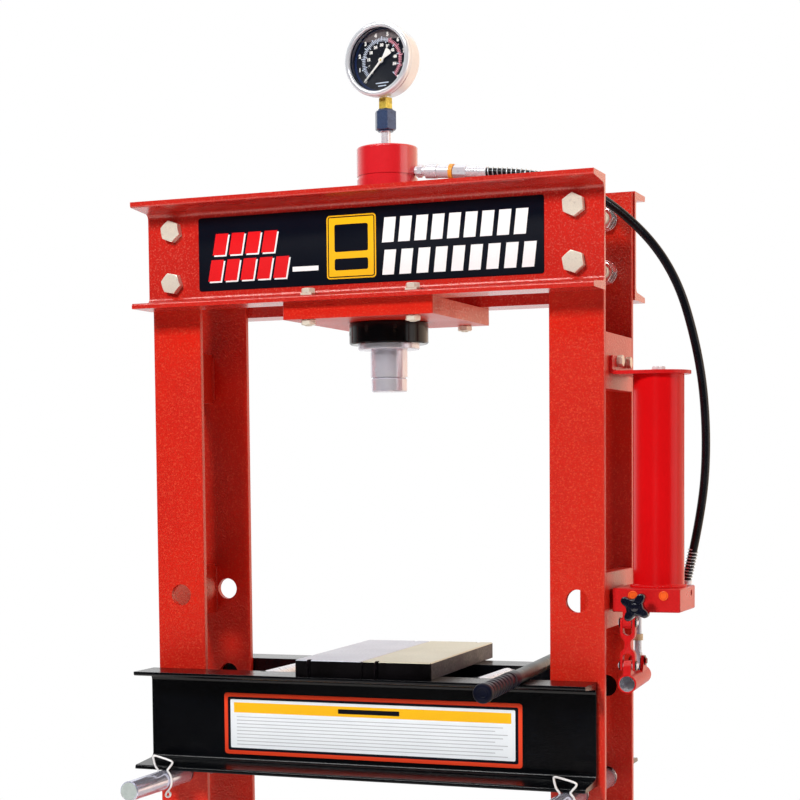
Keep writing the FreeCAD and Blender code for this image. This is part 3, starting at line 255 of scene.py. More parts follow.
def lathe_data(profile, origin, axis, seg=72, closed=True, wob=None):
    """Revolved profile of (radius, height) points; closed joins the last point to the first."""
    x, y, n = frame_of(axis)
    o = V(origin)
    verts, faces, rows = [], [], []
    for r, h in profile:
        if r < 1e-7:
            rows.append([len(verts)])
            verts.append(o + n * h)
        else:
            rows.append(list(range(len(verts), len(verts) + seg)))
            for i in range(seg):
                a = 2 * PI * i / seg
                q = r + (wob(a, h, r) if wob else 0.0)
                verts.append(o + x * (q * math.cos(a)) + y * (q * math.sin(a)) + n * h)
    pairs = list(zip(rows, rows[1:])) + ([(rows[-1], rows[0])] if closed and len(rows[0]) > 1 and len(rows[-1]) > 1 else [])
    for a, b in pairs:
        if len(a) == 1 and len(b) == 1:
            continue
        for i in range(seg):
            j = (i + 1) % seg
            if len(a) == 1:
                faces.append((a[0], b[i], b[j]))
            elif len(b) == 1:
                faces.append((a[i], a[j], b[0]))
            else:
                faces.append((a[i], a[j], b[j], b[i]))
    return verts, faces

def merge(parts):
    verts, faces, idx = [], [], []
    for part in parts:
        v, f = part[0], part[1]
        k = part[2] if len(part) > 2 else 0
        b = len(verts)
        verts += list(v)
        faces += [tuple(i + b for i in q) for q in f]
        idx += [k] * len(f)
    return verts, faces, idx

def rounded(points, r, n=4):
    """Profile with each inner corner replaced by a small arc of about radius r."""
    out = [points[0]]
    for a, b, c in zip(points, points[1:], points[2:]):
        a, b, c = V((*a, 0)), V((*b, 0)), V((*c, 0))
        d1, d2 = b - a, c - b
        t = min(r, d1.length * 0.45, d2.length * 0.45)
        p, q = b - d1.normalized() * t, b + d2.normalized() * t
        for i in range(n + 1):
            s = i / n
            w = p * (1 - s) ** 2 + b * (2 * s * (1 - s)) + q * s ** 2
            out.append((w.x, w.y))
    out.append(points[-1])
    return out

def sweep_data(pts, rad, seg=12, closed_ends=True, up0=None, section=None):
    """Tube along points with frames carried along the path; rad is a number or a function of the index."""
    pts = [V(p) for p in pts]
    n = len(pts)
    tang = []
    for i in range(n):
        a, b = pts[max(0, i - 1)], pts[min(n - 1, i + 1)]
        tang.append((b - a).normalized())
    x = frame_of(tang[0])[0] if up0 is None else V(up0)
    verts, faces = [], []
    for i in range(n):
        t = tang[i]
        x = (x - t * x.dot(t)).normalized()
        y = t.cross(x)
        r = rad(i) if callable(rad) else rad
        for k in range(seg):
            a = 2 * PI * k / seg
            c, s = (math.cos(a), math.sin(a)) if section is None else section(a)
            verts.append(pts[i] + x * (r * c) + y * (r * s))
    for i in range(n - 1):
        for k in range(seg):
            j = (k + 1) % seg
            faces.append((i * seg + k, i * seg + j, (i + 1) * seg + j, (i + 1) * seg + k))
    if closed_ends:
        faces.append(tuple(range(seg - 1, -1, -1)))
        faces.append(tuple((n - 1) * seg + k for k in range(seg)))
    return verts, faces

def resample(pts, step):
    pts = [V(p) for p in pts]
    out, acc = [pts[0]], 0.0
    for a, b in zip(pts, pts[1:]):
        d = (b - a).length
        while acc + d >= step:
            t = (step - acc) / d
            a = a + (b - a) * t
            out.append(a.copy())
            d = (b - a).length
            acc = 0.0
        acc += d
    return out

def helix_on(pts, radius, pitch, wire, per=20, seg=8, start=0.0, length=None, ends=0.0):
    """Wire wound round a path; the ends argument is not used."""
    ds = pitch / per
    line = resample(pts, ds)
    if length:
        line = line[:int(length / ds) + 1]
    n = len(line)
    t0 = (line[1] - line[0]).normalized()
    x = frame_of(t0)[0]
    out = []
    for i in range(n):
        t = (line[min(n - 1, i + 1)] - line[max(0, i - 1)]).normalized()
        x = (x - t * x.dot(t)).normalized()
        y = t.cross(x)
        a = start + 2 * PI * i / per
        out.append(line[i] + x * (radius * math.cos(a)) + y * (radius * math.sin(a)))
    return sweep_data(out, wire, seg)

def prism(poly2, o, ux, uz, depth, rim=0.0, steps=3):
    """Flat shape from 2-D points, extruded along ux x uz by depth, with a rounded rim when asked."""
    o, ux, uz = V(o), V(ux), V(uz)
    n = ux.cross(uz)
    m = len(poly2)
    cx, cz = sum(p[0] for p in poly2) / m, sum(p[1] for p in poly2) / m
    def inset(d):
        res = []
        for i in range(m):
            a, b, c = (V((*poly2[(i + k) % m], 0)) for k in (-1, 0, 1))
            e1, e2 = (b - a).normalized(), (c - b).normalized()
            n1, n2 = V((-e1.y, e1.x, 0)), V((-e2.y, e2.x, 0))
            bi = n1 + n2
            bi = bi.normalized() / max(0.5, (bi.normalized()).dot(n1)) if bi.length > 1e-6 else n1
            res.append((b.x + bi.x * d, b.y + bi.y * d))
        return res
    area = sum(poly2[i][0] * poly2[(i + 1) % m][1] - poly2[(i + 1) % m][0] * poly2[i][1] for i in range(m))
    sg = 1 if area > 0 else -1
    layers = []
    if rim:
        for k in range(steps + 1):
            a = PI / 2 * k / steps
            layers.append((rim * (1 - math.sin(a)), rim * (1 - math.cos(a))))
        layers = layers + [(i, depth - h) for i, h in reversed(layers)]
    else:
        layers = [(0, 0), (0, depth)]
    verts, faces = [], []
    for ins, h in layers:
        for (px, pz) in inset(ins * sg):
            verts.append(o + ux * px + uz * pz + n * h)
    for l in range(len(layers) - 1):
        for i in range(m):
            j = (i + 1) % m
            faces.append((l * m + i, l * m + j, (l + 1) * m + j, (l + 1) * m + i))
    faces.append(tuple(range(m - 1, -1, -1)))
    faces.append(tuple((len(layers) - 1) * m + i for i in range(m)))
    return verts, faces

def rrect(x0, z0, x1, z1, r, n=5):
    pts = []
    for cx, cz, a0 in ((x1 - r, z1 - r, 0), (x0 + r, z1 - r, 90), (x0 + r, z0 + r, 180), (x1 - r, z0 + r, 270)):
        for k in range(n + 1):
            a = math.radians(a0 + 90 * k / n)
            pts.append((cx + r * math.cos(a), cz + r * math.sin(a)))
    return pts

def thread_data(origin, axis, r, length, pitch=0.0025, depth=0.0011, per=28):
    """Helical thread over a shank end; the root sits just inside the shank's surface."""
    x, y, n = frame_of(axis)
    o = V(origin)
    rows = max(3, int(length / (pitch / 6)) + 1)
    verts, faces = [], []
    for j in range(rows):
        h = length * j / (rows - 1)
        for i in range(per):
            a = 2 * PI * i / per
            ph = (h / pitch - i / per) % 1.0
            tri = 1 - abs(2 * ph - 1)
            edge = min(1.0, h / 0.0015, (length - h) / 0.0015 + 0.1)
            q = r + 0.00012 - depth * (1 - tri) * 0.5 * edge + (-0.0008 * (1 - min(1.0, (length - h) / 0.0015)))
            verts.append(o + x * (q * math.cos(a)) + y * (q * math.sin(a)) + n * h)
    for j in range(rows - 1):
        for i in range(per):
            k = (i + 1) % per
            faces.append((j * per + i, j * per + k, (j + 1) * per + k, (j + 1) * per + i))
    faces.append(tuple(range(per - 1, -1, -1)))
    faces.append(tuple((rows - 1) * per + i for i in range(per)))
    return verts, faces

def bead_data(pts, r, step=0.0035, seed=0, seg=10, up0=None):
    """Weld bead: overlapping ripples along the joint."""
    line = resample(pts, step / 5)
    def rad(i):
        ph = (i / 5.0) % 1.0
        return r * (0.84 + 0.20 * math.sqrt(max(0.0, 1 - (2 * ph - 1) ** 2)) + 0.10 * noise.noise(V((i * 0.13, seed * 7.1, 0.5))))
    def wav(i, p):
        return p
    return sweep_data(line, rad, seg, True, up0)

def join_mesh(name, parts, mats, body, *replaced, slot=None, smooth=True, angle=32.0):
    v, f, i = merge(parts)
    return add(name, mesh_of(name, v, f, i, smooth, angle), mats, body, *replaced, slot=slot)

# =============================================================== CAD nodes that stay: edges eased by modifiers, faces finished
def dress(node, mats, pick=None, bevel=0.0, seg=2):
    o = N[node]
    me = o.data
    me.materials.clear()
    mats = mats if isinstance(mats, (list, tuple)) else [mats]
    for m in mats:
        me.materials.append(m)
    for p in me.polygons:
        p.material_index = pick(p.center, p.normal) if pick else 0
    if bevel:
        if "custom_normal" in me.attributes:
            me.attributes.remove(me.attributes["custom_normal"])
        w = o.modifiers.new("weld", "WELD")
        w.merge_threshold = 0.00001
        d = o.modifiers.new("dissolve", "DECIMATE")
        d.decimate_type = "DISSOLVE"
        d.angle_limit = math.radians(0.4)
        d.delimit = {"MATERIAL"}
        b = o.modifiers.new("ease", "BEVEL")
        b.width = bevel
        b.segments = seg
        b.limit_method = "ANGLE"
        b.angle_limit = math.radians(38)
        b.miter_outer = "MITER_ARC"
        b.use_clamp_overlap = True
        wn = o.modifiers.new("shade", "WEIGHTED_NORMAL")
        wn.mode = "FACE_AREA"
        wn.weight = 60
        for p in me.polygons:
            p.use_smooth = True
    return o

for n in ("post_left_front", "post_left_rear", "post_right_front", "post_right_rear"):
    dress(n, RED, bevel=0.0005)
for n in ("batten_plates", "foot_left", "foot_right", "cross_brace_front", "cross_brace_rear"):
    dress(n, RED, bevel=0.0008)
# the press plate's right-facing faces (normal x > 0.8) get the painted side sheen, all other faces plain red
dress("press_plate", [RED, RED_SIDE_SHEEN], lambda c, n: 1 if n.x > 0.8 else 0, bevel=0.0008)
for n in ("top_beam_front", "top_beam_rear"):
    dress(n, REDB, bevel=0.0006)
for n in ("bed_channel_front", "bed_channel_rear"):
    dress(n, BLACK, bevel=0.0006)
for n in ("beam_bolts", "brace_fasteners", "press_plate_fasteners", "pump_mount_bolts"):
    dress(n, ZINC, bevel=0.0004)
dress("beam_nuts", NUTM, bevel=0.0004)
dress("cylinder_barrel", GLOSSB)
dress("cylinder_lock_ring", OXIDE)
dress("cylinder_gland_ring", CHROME)
dress("ram_rod", CHROME)
dress("press_head", CHROME)
dress("port_nipple", ZINCB)
dress("gauge_coupling", [BLUED, ZINCB], lambda c, n: 1 if c.z < T + 0.1029 and (V((c.x + 0.002, c.y)).length < 0.0078) else 0)
dress("gauge_case", [CHROMEG, BRASS], lambda c, n: 1 if c.z < T + 0.1518 and V((c.x + 0.002, c.y)).length < 0.0125 else 0)
dress("gauge_lens", GLASS)
dress("pump_elbow", ZINC)
dress("pump_reservoir", GLOSS)
dress("pump_top_bracket", RED2, bevel=0.0005)
dress("pump_block", [RED2, TAN], lambda c, n: 1 if c.z < T - 0.6135 + 0.012 and V((c.x - 0.3805, c.y - 0.010)).length < 0.0069 else 0, bevel=0.0004)
dress("bed_spacers", ZINCB)
# top faces ground steel, right-facing faces (normal x > 0.8) the painted side light, all other faces black scale
for n in ("arbor_plate_left", "arbor_plate_right"):
    dress(n, [MACH if n.endswith("left") else MACH2, SCALE, SCALE_SIDE_LIT], lambda c, n: 0 if n.z > 0.6 else (2 if n.x > 0.8 else 1), bevel=0.0005)
for n, x in (("bed_pin_left", -0.3155), ("bed_pin_right", 0.3155)):
    dress(n, [PINST, PINEND], lambda c, n: 1 if abs(n.y) > 0.95 and (c.y < -0.2675 or c.y > 0.1795) else 0)
dress("pump_handle", TUBE)
dress("valve_plugs", [ORANGE, CHROME], lambda c, n: 1 if c.y > -0.0475 else 0)
cax = V((math.cos(math.radians(4.8)), 0, -math.sin(math.radians(4.8))))
cp0 = V((0.044, 0, T + 0.0393))
def along_c(c):
    l = (c - cp0).dot(cax)
    return l, (c - cp0 - cax * l).length
def pick_body(c, n):
    l, r = along_c(c)
    if 0.0553 < l < 0.0618 and r > 0.0086:
        return 1
    return 2 if l < 0.0553 and r < 0.0098 else 0
dress("coupler_body", [ZINCB, AMBER, ZINCB], pick_body)
S_AX = V((0, math.cos(math.radians(3)), math.sin(math.radians(3))))
S_P = V((0.3805, 0, T - 0.7143))
def pick_socket(c, n):
    d = c - S_P
    r = (d - S_AX * d.dot(S_AX)).length
    if r < 0.0114:
        return 1
    if abs(c.x - 0.3805) > 0.0102 and V((c.y - 0.010, c.z - (T - 0.690))).length < 0.0068:
        return 2
    return 0
dress("handle_socket", [RED2, ZINCB, OXIDE], pick_socket)
dress("pump_plunger", [PALE, TAN], lambda c, n: 1 if T - 0.6601 < c.z < T - 0.6509 and V((c.x - 0.3805, c.y - 0.010)).length > 0.0052 else 0)

# =============================================================== hose, coils and couplings
HP = [(0.1571, 0.0, 1.5798), (0.24978, 0.0, 1.57202), (0.345, 0.0, 1.526), (0.432, 0.008, 1.432), (0.468, 0.024, 1.300),
      (0.475, 0.042, 1.180), (0.464, 0.056, 1.070), (0.441, 0.060, 0.976)]
hc = bpy.data.curves.new("hose_line", "CURVE")
hc.dimensions = "3D"
sp = hc.splines.new("NURBS")
sp.points.add(len(HP) - 1)
for p, q in zip(sp.points, HP):
    p.co = (*q, 1.0)
sp.order_u = 3
sp.use_endpoint_u = True
hc.resolution_u = 24
hc.bevel_depth = 0.00625
hc.bevel_resolution = 8
hc.use_fill_caps = True
hose = bpy.data.objects.new("pressure_hose_cord", hc)
SC.collection.objects.link(hose)
hc.materials.append(HOSE)
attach(hose, "frame")
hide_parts("pressure_hose")

bare = hc.copy()
bare.bevel_depth = 0.0
tmp = bpy.data.objects.new("tmp_line", bare)
SC.collection.objects.link(tmp)
bpy.context.view_layer.update()
lm = bpy.data.meshes.new_from_object(tmp.evaluated_get(bpy.context.evaluated_depsgraph_get()))
LINE = [v.co.copy() for v in lm.vertices]
bpy.data.objects.remove(tmp)
bpy.data.meshes.remove(lm)
bpy.data.curves.remove(bare)

coil1 = join_mesh("hose_guard_coil_top", [helix_on(LINE, 0.00725, 0.0072, 0.00098, per=26, seg=8, length=0.134)], SPRING, "frame",
                  "hose_guard_top", slot="spring_steel")
coil2 = join_mesh("hose_guard_coil_bottom", [helix_on(list(reversed(LINE)), 0.00715, 0.0046, 0.00082, per=22, seg=8, length=0.046)], SPRING,
                  "frame", "hose_guard_bottom", slot="spring_steel")

def ferrule(name, origin, axis, length, node):
    R, g = 0.0086, 0.0005
    prof = [(0.0062, 0.0), (R - 0.0009, 0.0), (R, 0.0009)]
    k = 4
    for i in range(k):
        c = length * (0.30 + 0.16 * i)
        prof += [(R, c - 0.0019), (R - g, c - 0.0013), (R - g, c + 0.0013), (R, c + 0.0019)]
    prof += [(R, length - 0.0009), (R - 0.0009, length), (0.0062, length)]
    v, f = lathe_data(rounded(prof, 0.0004, 3), origin, axis, 48, closed=False)
    n = len(f)
    cap0 = tuple(range(47, -1, -1))
    cap1 = tuple(range(len(v) - 48, len(v)))
    return join_mesh(name, [(v, f + [cap0, cap1])], ZINCB, "frame", node, slot="zinc")
fer1 = ferrule("hose_ferrule_top_crimped", cp0 + cax * 0.082, cax, 0.0315, "hose_ferrule_top")
e_dir = (V(HP[-1]) - V(HP[-2])).normalized()
fer2 = ferrule("hose_ferrule_bottom_crimped", V(HP[-1]), e_dir, 0.021, "hose_ferrule_bottom")

# knurled union sleeve
def knurl(a, h, r):
    if r < 0.0104 or h < 0.0202 or h > 0.0348:
        return 0.0
    p = 18 * a
    k = h / 0.0019 * PI
    return -0.00038 * (1 - min(abs(math.sin(p + k)), abs(math.sin(p - k))))
prof = [(0.0071, 0.0183), (0.0098, 0.0183), (0.0106, 0.0190), (0.0106, 0.0200)]
prof += [(0.01058, 0.0203 + 0.0145 * i / 46) for i in range(47)]
prof += [(0.0106, 0.0350), (0.0106, 0.0360), (0.0098, 0.0367), (0.0071, 0.0367)]
v, f = lathe_data(prof, cp0, cax, 144, wob=knurl)
join_mesh("union_sleeve_knurled", [(v, f)], ZINCB, "coupler_nut", "coupler_sleeve", slot="zinc", angle=50)

# return spring inside the hollow ram
zs = [V((0, 0, T - 0.2236 + 0.2742 * i / 60)) for i in range(61)]
join_mesh("return_spring_coil", [helix_on(zs, 0.0090, 0.0062, 0.0014, per=22, seg=8)], SPRING, "frame", "return_spring", slot="spring_steel")

# =============================================================== gauge
GX, GZ, GA = -0.002, T + 0.205, math.radians(-8.0)
gx = V((math.cos(GA), math.sin(GA), 0))                 # dial's right
gn = V((math.sin(GA), -math.cos(GA), 0))                # out of the dial, towards the operator
gc = V((GX, 0, GZ))
def gp(a_deg, r, d):
    a = math.radians(a_deg)
    return gc + gx * (r * math.cos(a)) + V((0, 0, r * math.sin(a))) + gn * d
bez = [(0.0520, 0.0141), (0.0551, 0.0141), (0.05525, 0.0150), (0.05525, 0.0172), (0.0546, 0.0180), (0.0546, 0.0190), (0.05525, 0.0198),
       (0.05525, 0.0235), (0.0543, 0.0268), (0.0522, 0.0286), (0.0498, 0.0290), (0.0480, 0.0284), (0.0470, 0.0268), (0.0466, 0.0252),
       (0.0466, 0.0242), (0.04915, 0.0242), (0.04915, 0.0202), (0.0520, 0.0202)]
v, f = lathe_data(bez, gc, gn, 128)
join_mesh("gauge_bezel_ring", [(v, f)], CHROMEG, "frame", "gauge_bezel", slot="bright_steel", angle=40)
gask = [(0.0463, 0.0205), (0.0490, 0.0205), (0.0490, 0.0219), (0.0463, 0.0219)]
v, f = lathe_data(gask, gc, gn, 96)
join_mesh("gauge_gasket", [(v, f)], HOSE, "frame")
# dial plate with a dished edge, and the strip of haze above the damping fluid
v, f = lathe_data([(0.0017, 0.0091), (0.0488, 0.0091), (0.0489, 0.0094), (0.0489, 0.0106), (0.0482, 0.0106), (0.0470, 0.0100), (0.0017, 0.0100)], gc, gn, 96)
join_mesh("gauge_dial_plate", [(v, f)], DIAL, "frame", "gauge_dial", slot="dial")
# painted reflection: dark blue ring just inside the bezel, standing in for the glass rim's reflection
v, f = lathe_data([(0.0436, 0.01002), (0.0470, 0.01002), (0.0470, 0.0103), (0.0436, 0.0101)], gc, gn, 96)
join_mesh("gauge_painted_rim_reflection", [(v, f)], DIAL_RIM_REFLECTION, "frame")
hz = []
for a in range(38, 141, 3):
    hz.append((0.0461 * math.cos(math.radians(a)), 0.0461 * math.sin(math.radians(a))))
chord = [(-0.0358 + 0.0716 * i / 20, 0.0300 - 0.0016 * i / 20 * 0 + 0.0006 * math.sin(i * 0.9)) for i in range(1, 20)]
hz = [(x, max(z, 0.0)) for x, z in hz] + chord
v, f = prism(hz, gc + gn * 0.0101, gx, (0, 0, 1), 0.00016)
join_mesh("gauge_fluid_haze", [(v, f)], GREYLIQ, "frame", smooth=False)

def tick(a, r1, r2, w, d0=0.0102, d1=0.0105):
    p1, p2 = gp(a, r1, 0), gp(a, r2, 0)
    s = (p2 - p1).normalized().cross(gn) * (w / 2)
    v = []
    for d in (d0, d1):
        v += [p1 - s + gn * d, p1 + s + gn * d, p2 + s + gn * d, p2 - s + gn * d]
    return v, [(0, 3, 2, 1), (4, 5, 6, 7), (0, 1, 5, 4), (1, 2, 6, 5), (2, 3, 7, 6), (3, 0, 4, 7)]
def arc(a0, a1, r1, r2, n=60, d0=0.0102, d1=0.01045):
    v, f = [], []
    for i in range(n + 1):
        a = a0 + (a1 - a0) * i / n
        v += [gp(a, r1, d0), gp(a, r2, d0), gp(a, r2, d1), gp(a, r1, d1)]
    for i in range(n):
        b = 4 * i
        for k in range(4):
            f.append((b + k, b + (k + 1) % 4, b + 4 + (k + 1) % 4, b + 4 + k))
    f += [(3, 2, 1, 0), (4 * n, 4 * n + 1, 4 * n + 2, 4 * n + 3)]
    return v, f
white, red = [], []
for i in range(61):                                         # outer scale
    a = 225 - 4.5 * i
    big = i % 6 == 0
    (red if a < 68 else white).append((*tick(a, 0.0308, 0.0358 if big else 0.0338, 0.0013 if big else 0.0009), 0))
for i in range(55):                                         # inner scale
    a = 225 - 5.0 * i
    big = i % 6 == 0
    (red if a < 68 and not big else white).append((*tick(a, 0.0262 if big else 0.0282, 0.0308, 0.0013 if big else 0.0009), 0))
white.append((*arc(225, 68, 0.0306, 0.0310), 0))
red.append((*arc(68, -45, 0.0304, 0.0311), 0))
join_mesh("gauge_scale_marks", white, PBLUE, "frame", smooth=False)
join_mesh("gauge_scale_red_zone", red, PINK, "frame", smooth=False)

def numeral(txt, a, r, size, k):
    cu = bpy.data.curves.new("num%d" % k, "FONT")
    cu.body = txt
    cu.size = size
    cu.align_x = "CENTER"
    cu.align_y = "CENTER"
    cu.extrude = 0.00008
    cu.offset = 0.00045
    o = bpy.data.objects.new("num%d" % k, cu)
    SC.collection.objects.link(o)
    bpy.context.view_layer.update()
    me = bpy.data.meshes.new_from_object(o.evaluated_get(bpy.context.evaluated_depsgraph_get()))
    c = gp(a, r, 0.01045)
    M = Matrix(((gx.x, 0, gn.x, c.x), (gx.y, 0, gn.y, c.y), (0, 1, 0, c.z), (0, 0, 0, 1)))
    vs = [M @ v.co for v in me.vertices]
    fs = [tuple(p.vertices) for p in me.polygons]
    bpy.data.objects.remove(o)
    bpy.data.meshes.remove(me)
    return vs, fs, 0
nums, k = [], 0
for i in range(10):
    nums.append(numeral(str(i), 225 - 30 * i, 0.0390, 0.0076, k)); k += 1
    nums.append(numeral(str(i * 6), 225 - 27 * i, 0.0228, 0.0056, k)); k += 1
join_mesh("gauge_scale_numbers", nums, NEEDLE, "frame", smooth=False)
bars = [(*prism(rrect(-0.0110, -0.0335, 0.0110, -0.0320, 0.0006, 3), gc + gn * 0.0102, gx, (0, 0, 1), -0.0002), 0),
        (*prism(rrect(-0.0070, -0.0378, 0.0070, -0.0364, 0.0006, 3), gc + gn * 0.0102, gx, (0, 0, 1), -0.0002), 0)]
join_mesh("gauge_dial_bars", bars, PBLUE, "frame", smooth=False)

# pointer: slim blade, wedge tail and a ringed hub
na = math.radians(225.0)
nu = gx * math.cos(na) + V((0, 0, math.sin(na)))
nw = gn.cross(nu)
blade = [(0.0, 0.0018), (0.0400, 0.0008), (0.0418, 0.0), (0.0400, -0.0008), (0.0, -0.0018), (-0.0055, -0.0020), (-0.0180, -0.0060),
         (-0.0196, -0.0034), (-0.0200, 0.0), (-0.0196, 0.0034), (-0.0180, 0.0060), (-0.0055, 0.0020)]
parts = [(*prism(blade, gc + gn * 0.0124, nu, nw, 0.0008, 0.0001, 2), 0)]
parts.append((*lathe_data(rounded([(0.0, 0.0122), (0.0040, 0.0122), (0.0040, 0.0142), (0.0028, 0.0148), (0.0024, 0.0143), (0.0, 0.0143)], 0.0003, 3), gc, gn, 40, closed=False), 0))
parts.append((*lathe_data(rounded([(0.0, 0.0072), (0.0013, 0.0072), (0.0013, 0.0150), (0.0, 0.0154)], 0.0002, 3), gc, gn, 24, closed=False), 1))
join_mesh("gauge_pointer", parts, [NEEDLE, BRASS], "needle", "gauge_needle", slot="white")
# blow-out plug on the back of the case
v, f = lathe_data([(0.0, -0.0161), (0.0070, -0.0161), (0.0082, -0.0156), (0.0082, -0.0140), (0.0, -0.0140)], gc + V((0, 0, 0.028)), gn, 32, closed=False)
join_mesh("gauge_vent_plug", [(v, f)], HOSE, "frame")

# =============================================================== filler plug, star knob
def ribs(a, h, r):
    return -0.0005 * (0.5 + 0.5 * math.cos(24 * a)) if r > 0.0088 else 0.0
zb = T - 0.271
pf = rounded([(0.0, -0.015), (0.0043, -0.015), (0.0050, -0.0138), (0.0050, 0.0), (0.0094, 0.0), (0.0095, 0.0008), (0.0095, 0.0050), (0.0086, 0.0065),
              (0.0052, 0.0065), (0.0048, 0.0060), (0.0, 0.0060)], 0.0004, 3)
v, f = lathe_data(pf, (0.415, -0.0085, zb), (0, 0, 1), 96, closed=False, wob=ribs)
join_mesh("filler_plug_ribbed", [(v, f)], CAPW, "filler", "filler_plug", slot="white")

kc = V((0.4005, -0.0860, T - 0.6045))
def star(a):
    """Outline radius of a four-lobe knob: waists between rounded arms."""
    b = (a - math.radians(57.0)) % (PI / 2)
    if b > PI / 4:
        b -= PI / 2
    c, rr = 0.0165, 0.0061
    s = c * math.sin(abs(b))
    arm = c * math.cos(b) + math.sqrt(max(0.0, rr * rr - s * s)) if s < rr else 0.0
    w = abs(b) / (PI / 4)
    waist = 0.0124 + 0.0010 * (1 - w)
    web = 0.0 if w > 0.92 else 0.0122 + 0.0098 * (1 - w) ** 2.2
    return max(arm, waist, web)
def star_s(a):
    s = 0.0
    for k in range(-3, 4):
        s += star(a + k * 0.035)
    return s / 7
def knob_rows():
    rows = []
    for h, ins, dome in ((0.0, 0.0016, 0), (0.0004, 0.0007, 0), (0.0014, 0.0, 0), (0.0110, 0.0, 0), (0.0126, 0.0006, 0), (0.0136, 0.0018, 0), (0.0139, 0.0034, 0)):
        rows.append((h, ins))
    return rows
SEG = 160
verts, faces = [], []
rows = knob_rows()
for h, ins in rows:
    for i in range(SEG):
        a = 2 * PI * i / SEG
        r = star_s(a) - ins
        verts.append(kc + V((r * math.cos(a), -h, r * math.sin(a))))
for j in range(len(rows) - 1):
    for i in range(SEG):
        k = (i + 1) % SEG
        faces.append((j * SEG + i, j * SEG + k, (j + 1) * SEG + k, (j + 1) * SEG + i))
inner = [(0.0086, 0.0138), (0.0080, 0.0131), (0.0060, 0.0131), (0.0052, 0.0138), (0.0, 0.0140)]
base = (len(rows) - 1) * SEG
for r, h in inner[:-1]:
    b2 = len(verts)
    for i in range(SEG):
        a = 2 * PI * i / SEG
        verts.append(kc + V((r * math.cos(a), -h, r * math.sin(a))))
    for i in range(SEG):
        k = (i + 1) % SEG
        faces.append((base + i, base + k, b2 + k, b2 + i))
    base = b2
verts.append(kc + V((0, -0.0140, 0)))
for i in range(SEG):
    faces.append((base + i, base + (i + 1) % SEG, len(verts) - 1))
faces.append(tuple(range(SEG - 1, -1, -1)))
parts = [(verts, faces, 0)]
parts.append((*lathe_data(rounded([(0.0, 0.0008), (0.0092, 0.0008), (0.0088, -0.0075), (0.0062, -0.0080), (0.0, -0.0080)], 0.0006, 3), kc, (0, -1, 0), 48, closed=False), 0))
parts.append((*lathe_data(rounded([(0.0, 0.0), (0.0050, 0.0), (0.0050, -0.0475), (0.0012, -0.0500), (0.0, -0.0500)], 0.0005, 3), kc, (0, -1, 0), 40, closed=False), 1))
join_mesh("release_knob_star", parts, [KNOB, ZINCB], "release_valve", "release_knob", slot="knob", angle=40)

# =============================================================== pump linkage
LX = 0.3805
az, bz, ay = T - 0.6295, T - 0.6915, -0.050
half = [(-0.0070, 0.0066), (-0.0108, 0.0066), (-0.0108, -0.0150), (-0.0100, -0.0200), (-0.0076, -0.0232), (-0.0052, -0.0256), (-0.0044, -0.0285), (-0.0044, -0.0350),
        (-0.0052, -0.0376), (-0.0076, -0.0400), (-0.0100, -0.0430), (-0.0108, -0.0480), (-0.0108, -0.0698), (-0.0070, -0.0698), (-0.0070, -0.0500), (-0.0056, -0.0468),
        (-0.0028, -0.0448), (0.0, -0.0442)]
other = [(-x, z) for x, z in reversed(half[:-1])]
topu = [(0.0066, -0.0150), (0.0045, -0.0172), (0.0018, -0.0184), (0.0, -0.0186), (-0.0018, -0.0184), (-0.0045, -0.0172), (-0.0066, -0.0150)]
outline = half + other + topu
def link_mesh():
    bm = bmesh.new()
    vs = [bm.verts.new((LX + x, ay - 0.0058, az + z)) for x, z in outline]
    fc = bm.faces.new(vs)
    r = bmesh.ops.extrude_face_region(bm, geom=[fc])
    bmesh.ops.translate(bm, vec=(0, 0.0116, 0), verts=[g for g in r["geom"] if isinstance(g, bmesh.types.BMVert)])
    bmesh.ops.recalc_face_normals(bm, faces=bm.faces)
    ends = [e for e in bm.edges if abs(e.verts[0].co.z - e.verts[1].co.z) < 1e-6 and abs(e.verts[0].co.y - e.verts[1].co.y) < 1e-6
            and (e.verts[0].co.z > az + 0.006 or e.verts[0].co.z < az - 0.069)]
    bmesh.ops.bevel(bm, geom=ends, offset=0.0050, segments=5, profile=0.5, affect="EDGES")
    sharp = [e for e in bm.edges if len(e.link_faces) == 2 and e.calc_face_angle() > math.radians(50)]
    bmesh.ops.bevel(bm, geom=sharp, offset=0.0007, segments=2, profile=0.5, affect="EDGES")
    me = bpy.data.meshes.new("link")
    bm.to_mesh(me)
    bm.free()
    vs = [v.co.copy() for v in me.vertices]
    fs = [tuple(p.vertices) for p in me.polygons]
    bpy.data.meshes.remove(me)
    return vs, fs
def pin_parts(y, z, x0, x1, k_pin, k_clip):
    """Clevis pin with rounded ends and an open retaining ring near each end."""
    res = [(*lathe_data(rounded([(0.0, 0.0), (0.0033, 0.0), (0.0040, 0.0008), (0.0040, x1 - x0 - 0.0008), (0.0033, x1 - x0), (0.0, x1 - x0)], 0.0004, 3),
                        (x0, y, z), (1, 0, 0), 32, closed=False), k_pin)]
    for xc in (x0 + 0.0026, x1 - 0.0026):
        v, f = [], []
        n = 28
        for i in range(n + 1):
            a = math.radians(-60 + 300 * i / n) + (0.6 if xc < LX else 2.0)
            for rr, dx in ((0.0038, -0.0006), (0.0070 - (0.0012 if i % 9 == 4 else 0), -0.0006), (0.0070 - (0.0012 if i % 9 == 4 else 0), 0.0006), (0.0038, 0.0006)):
                v.append(V((xc + dx, y + rr * math.cos(a), z + rr * math.sin(a))))
        for i in range(n):
            b = 4 * i
            for k in range(4):
                f.append((b + k, b + (k + 1) % 4, b + 4 + (k + 1) % 4, b + 4 + k))
        f += [(3, 2, 1, 0), (4 * n, 4 * n + 1, 4 * n + 2, 4 * n + 3)]
        res.append((v, f, k_clip))
    return res
lv, lf = link_mesh()
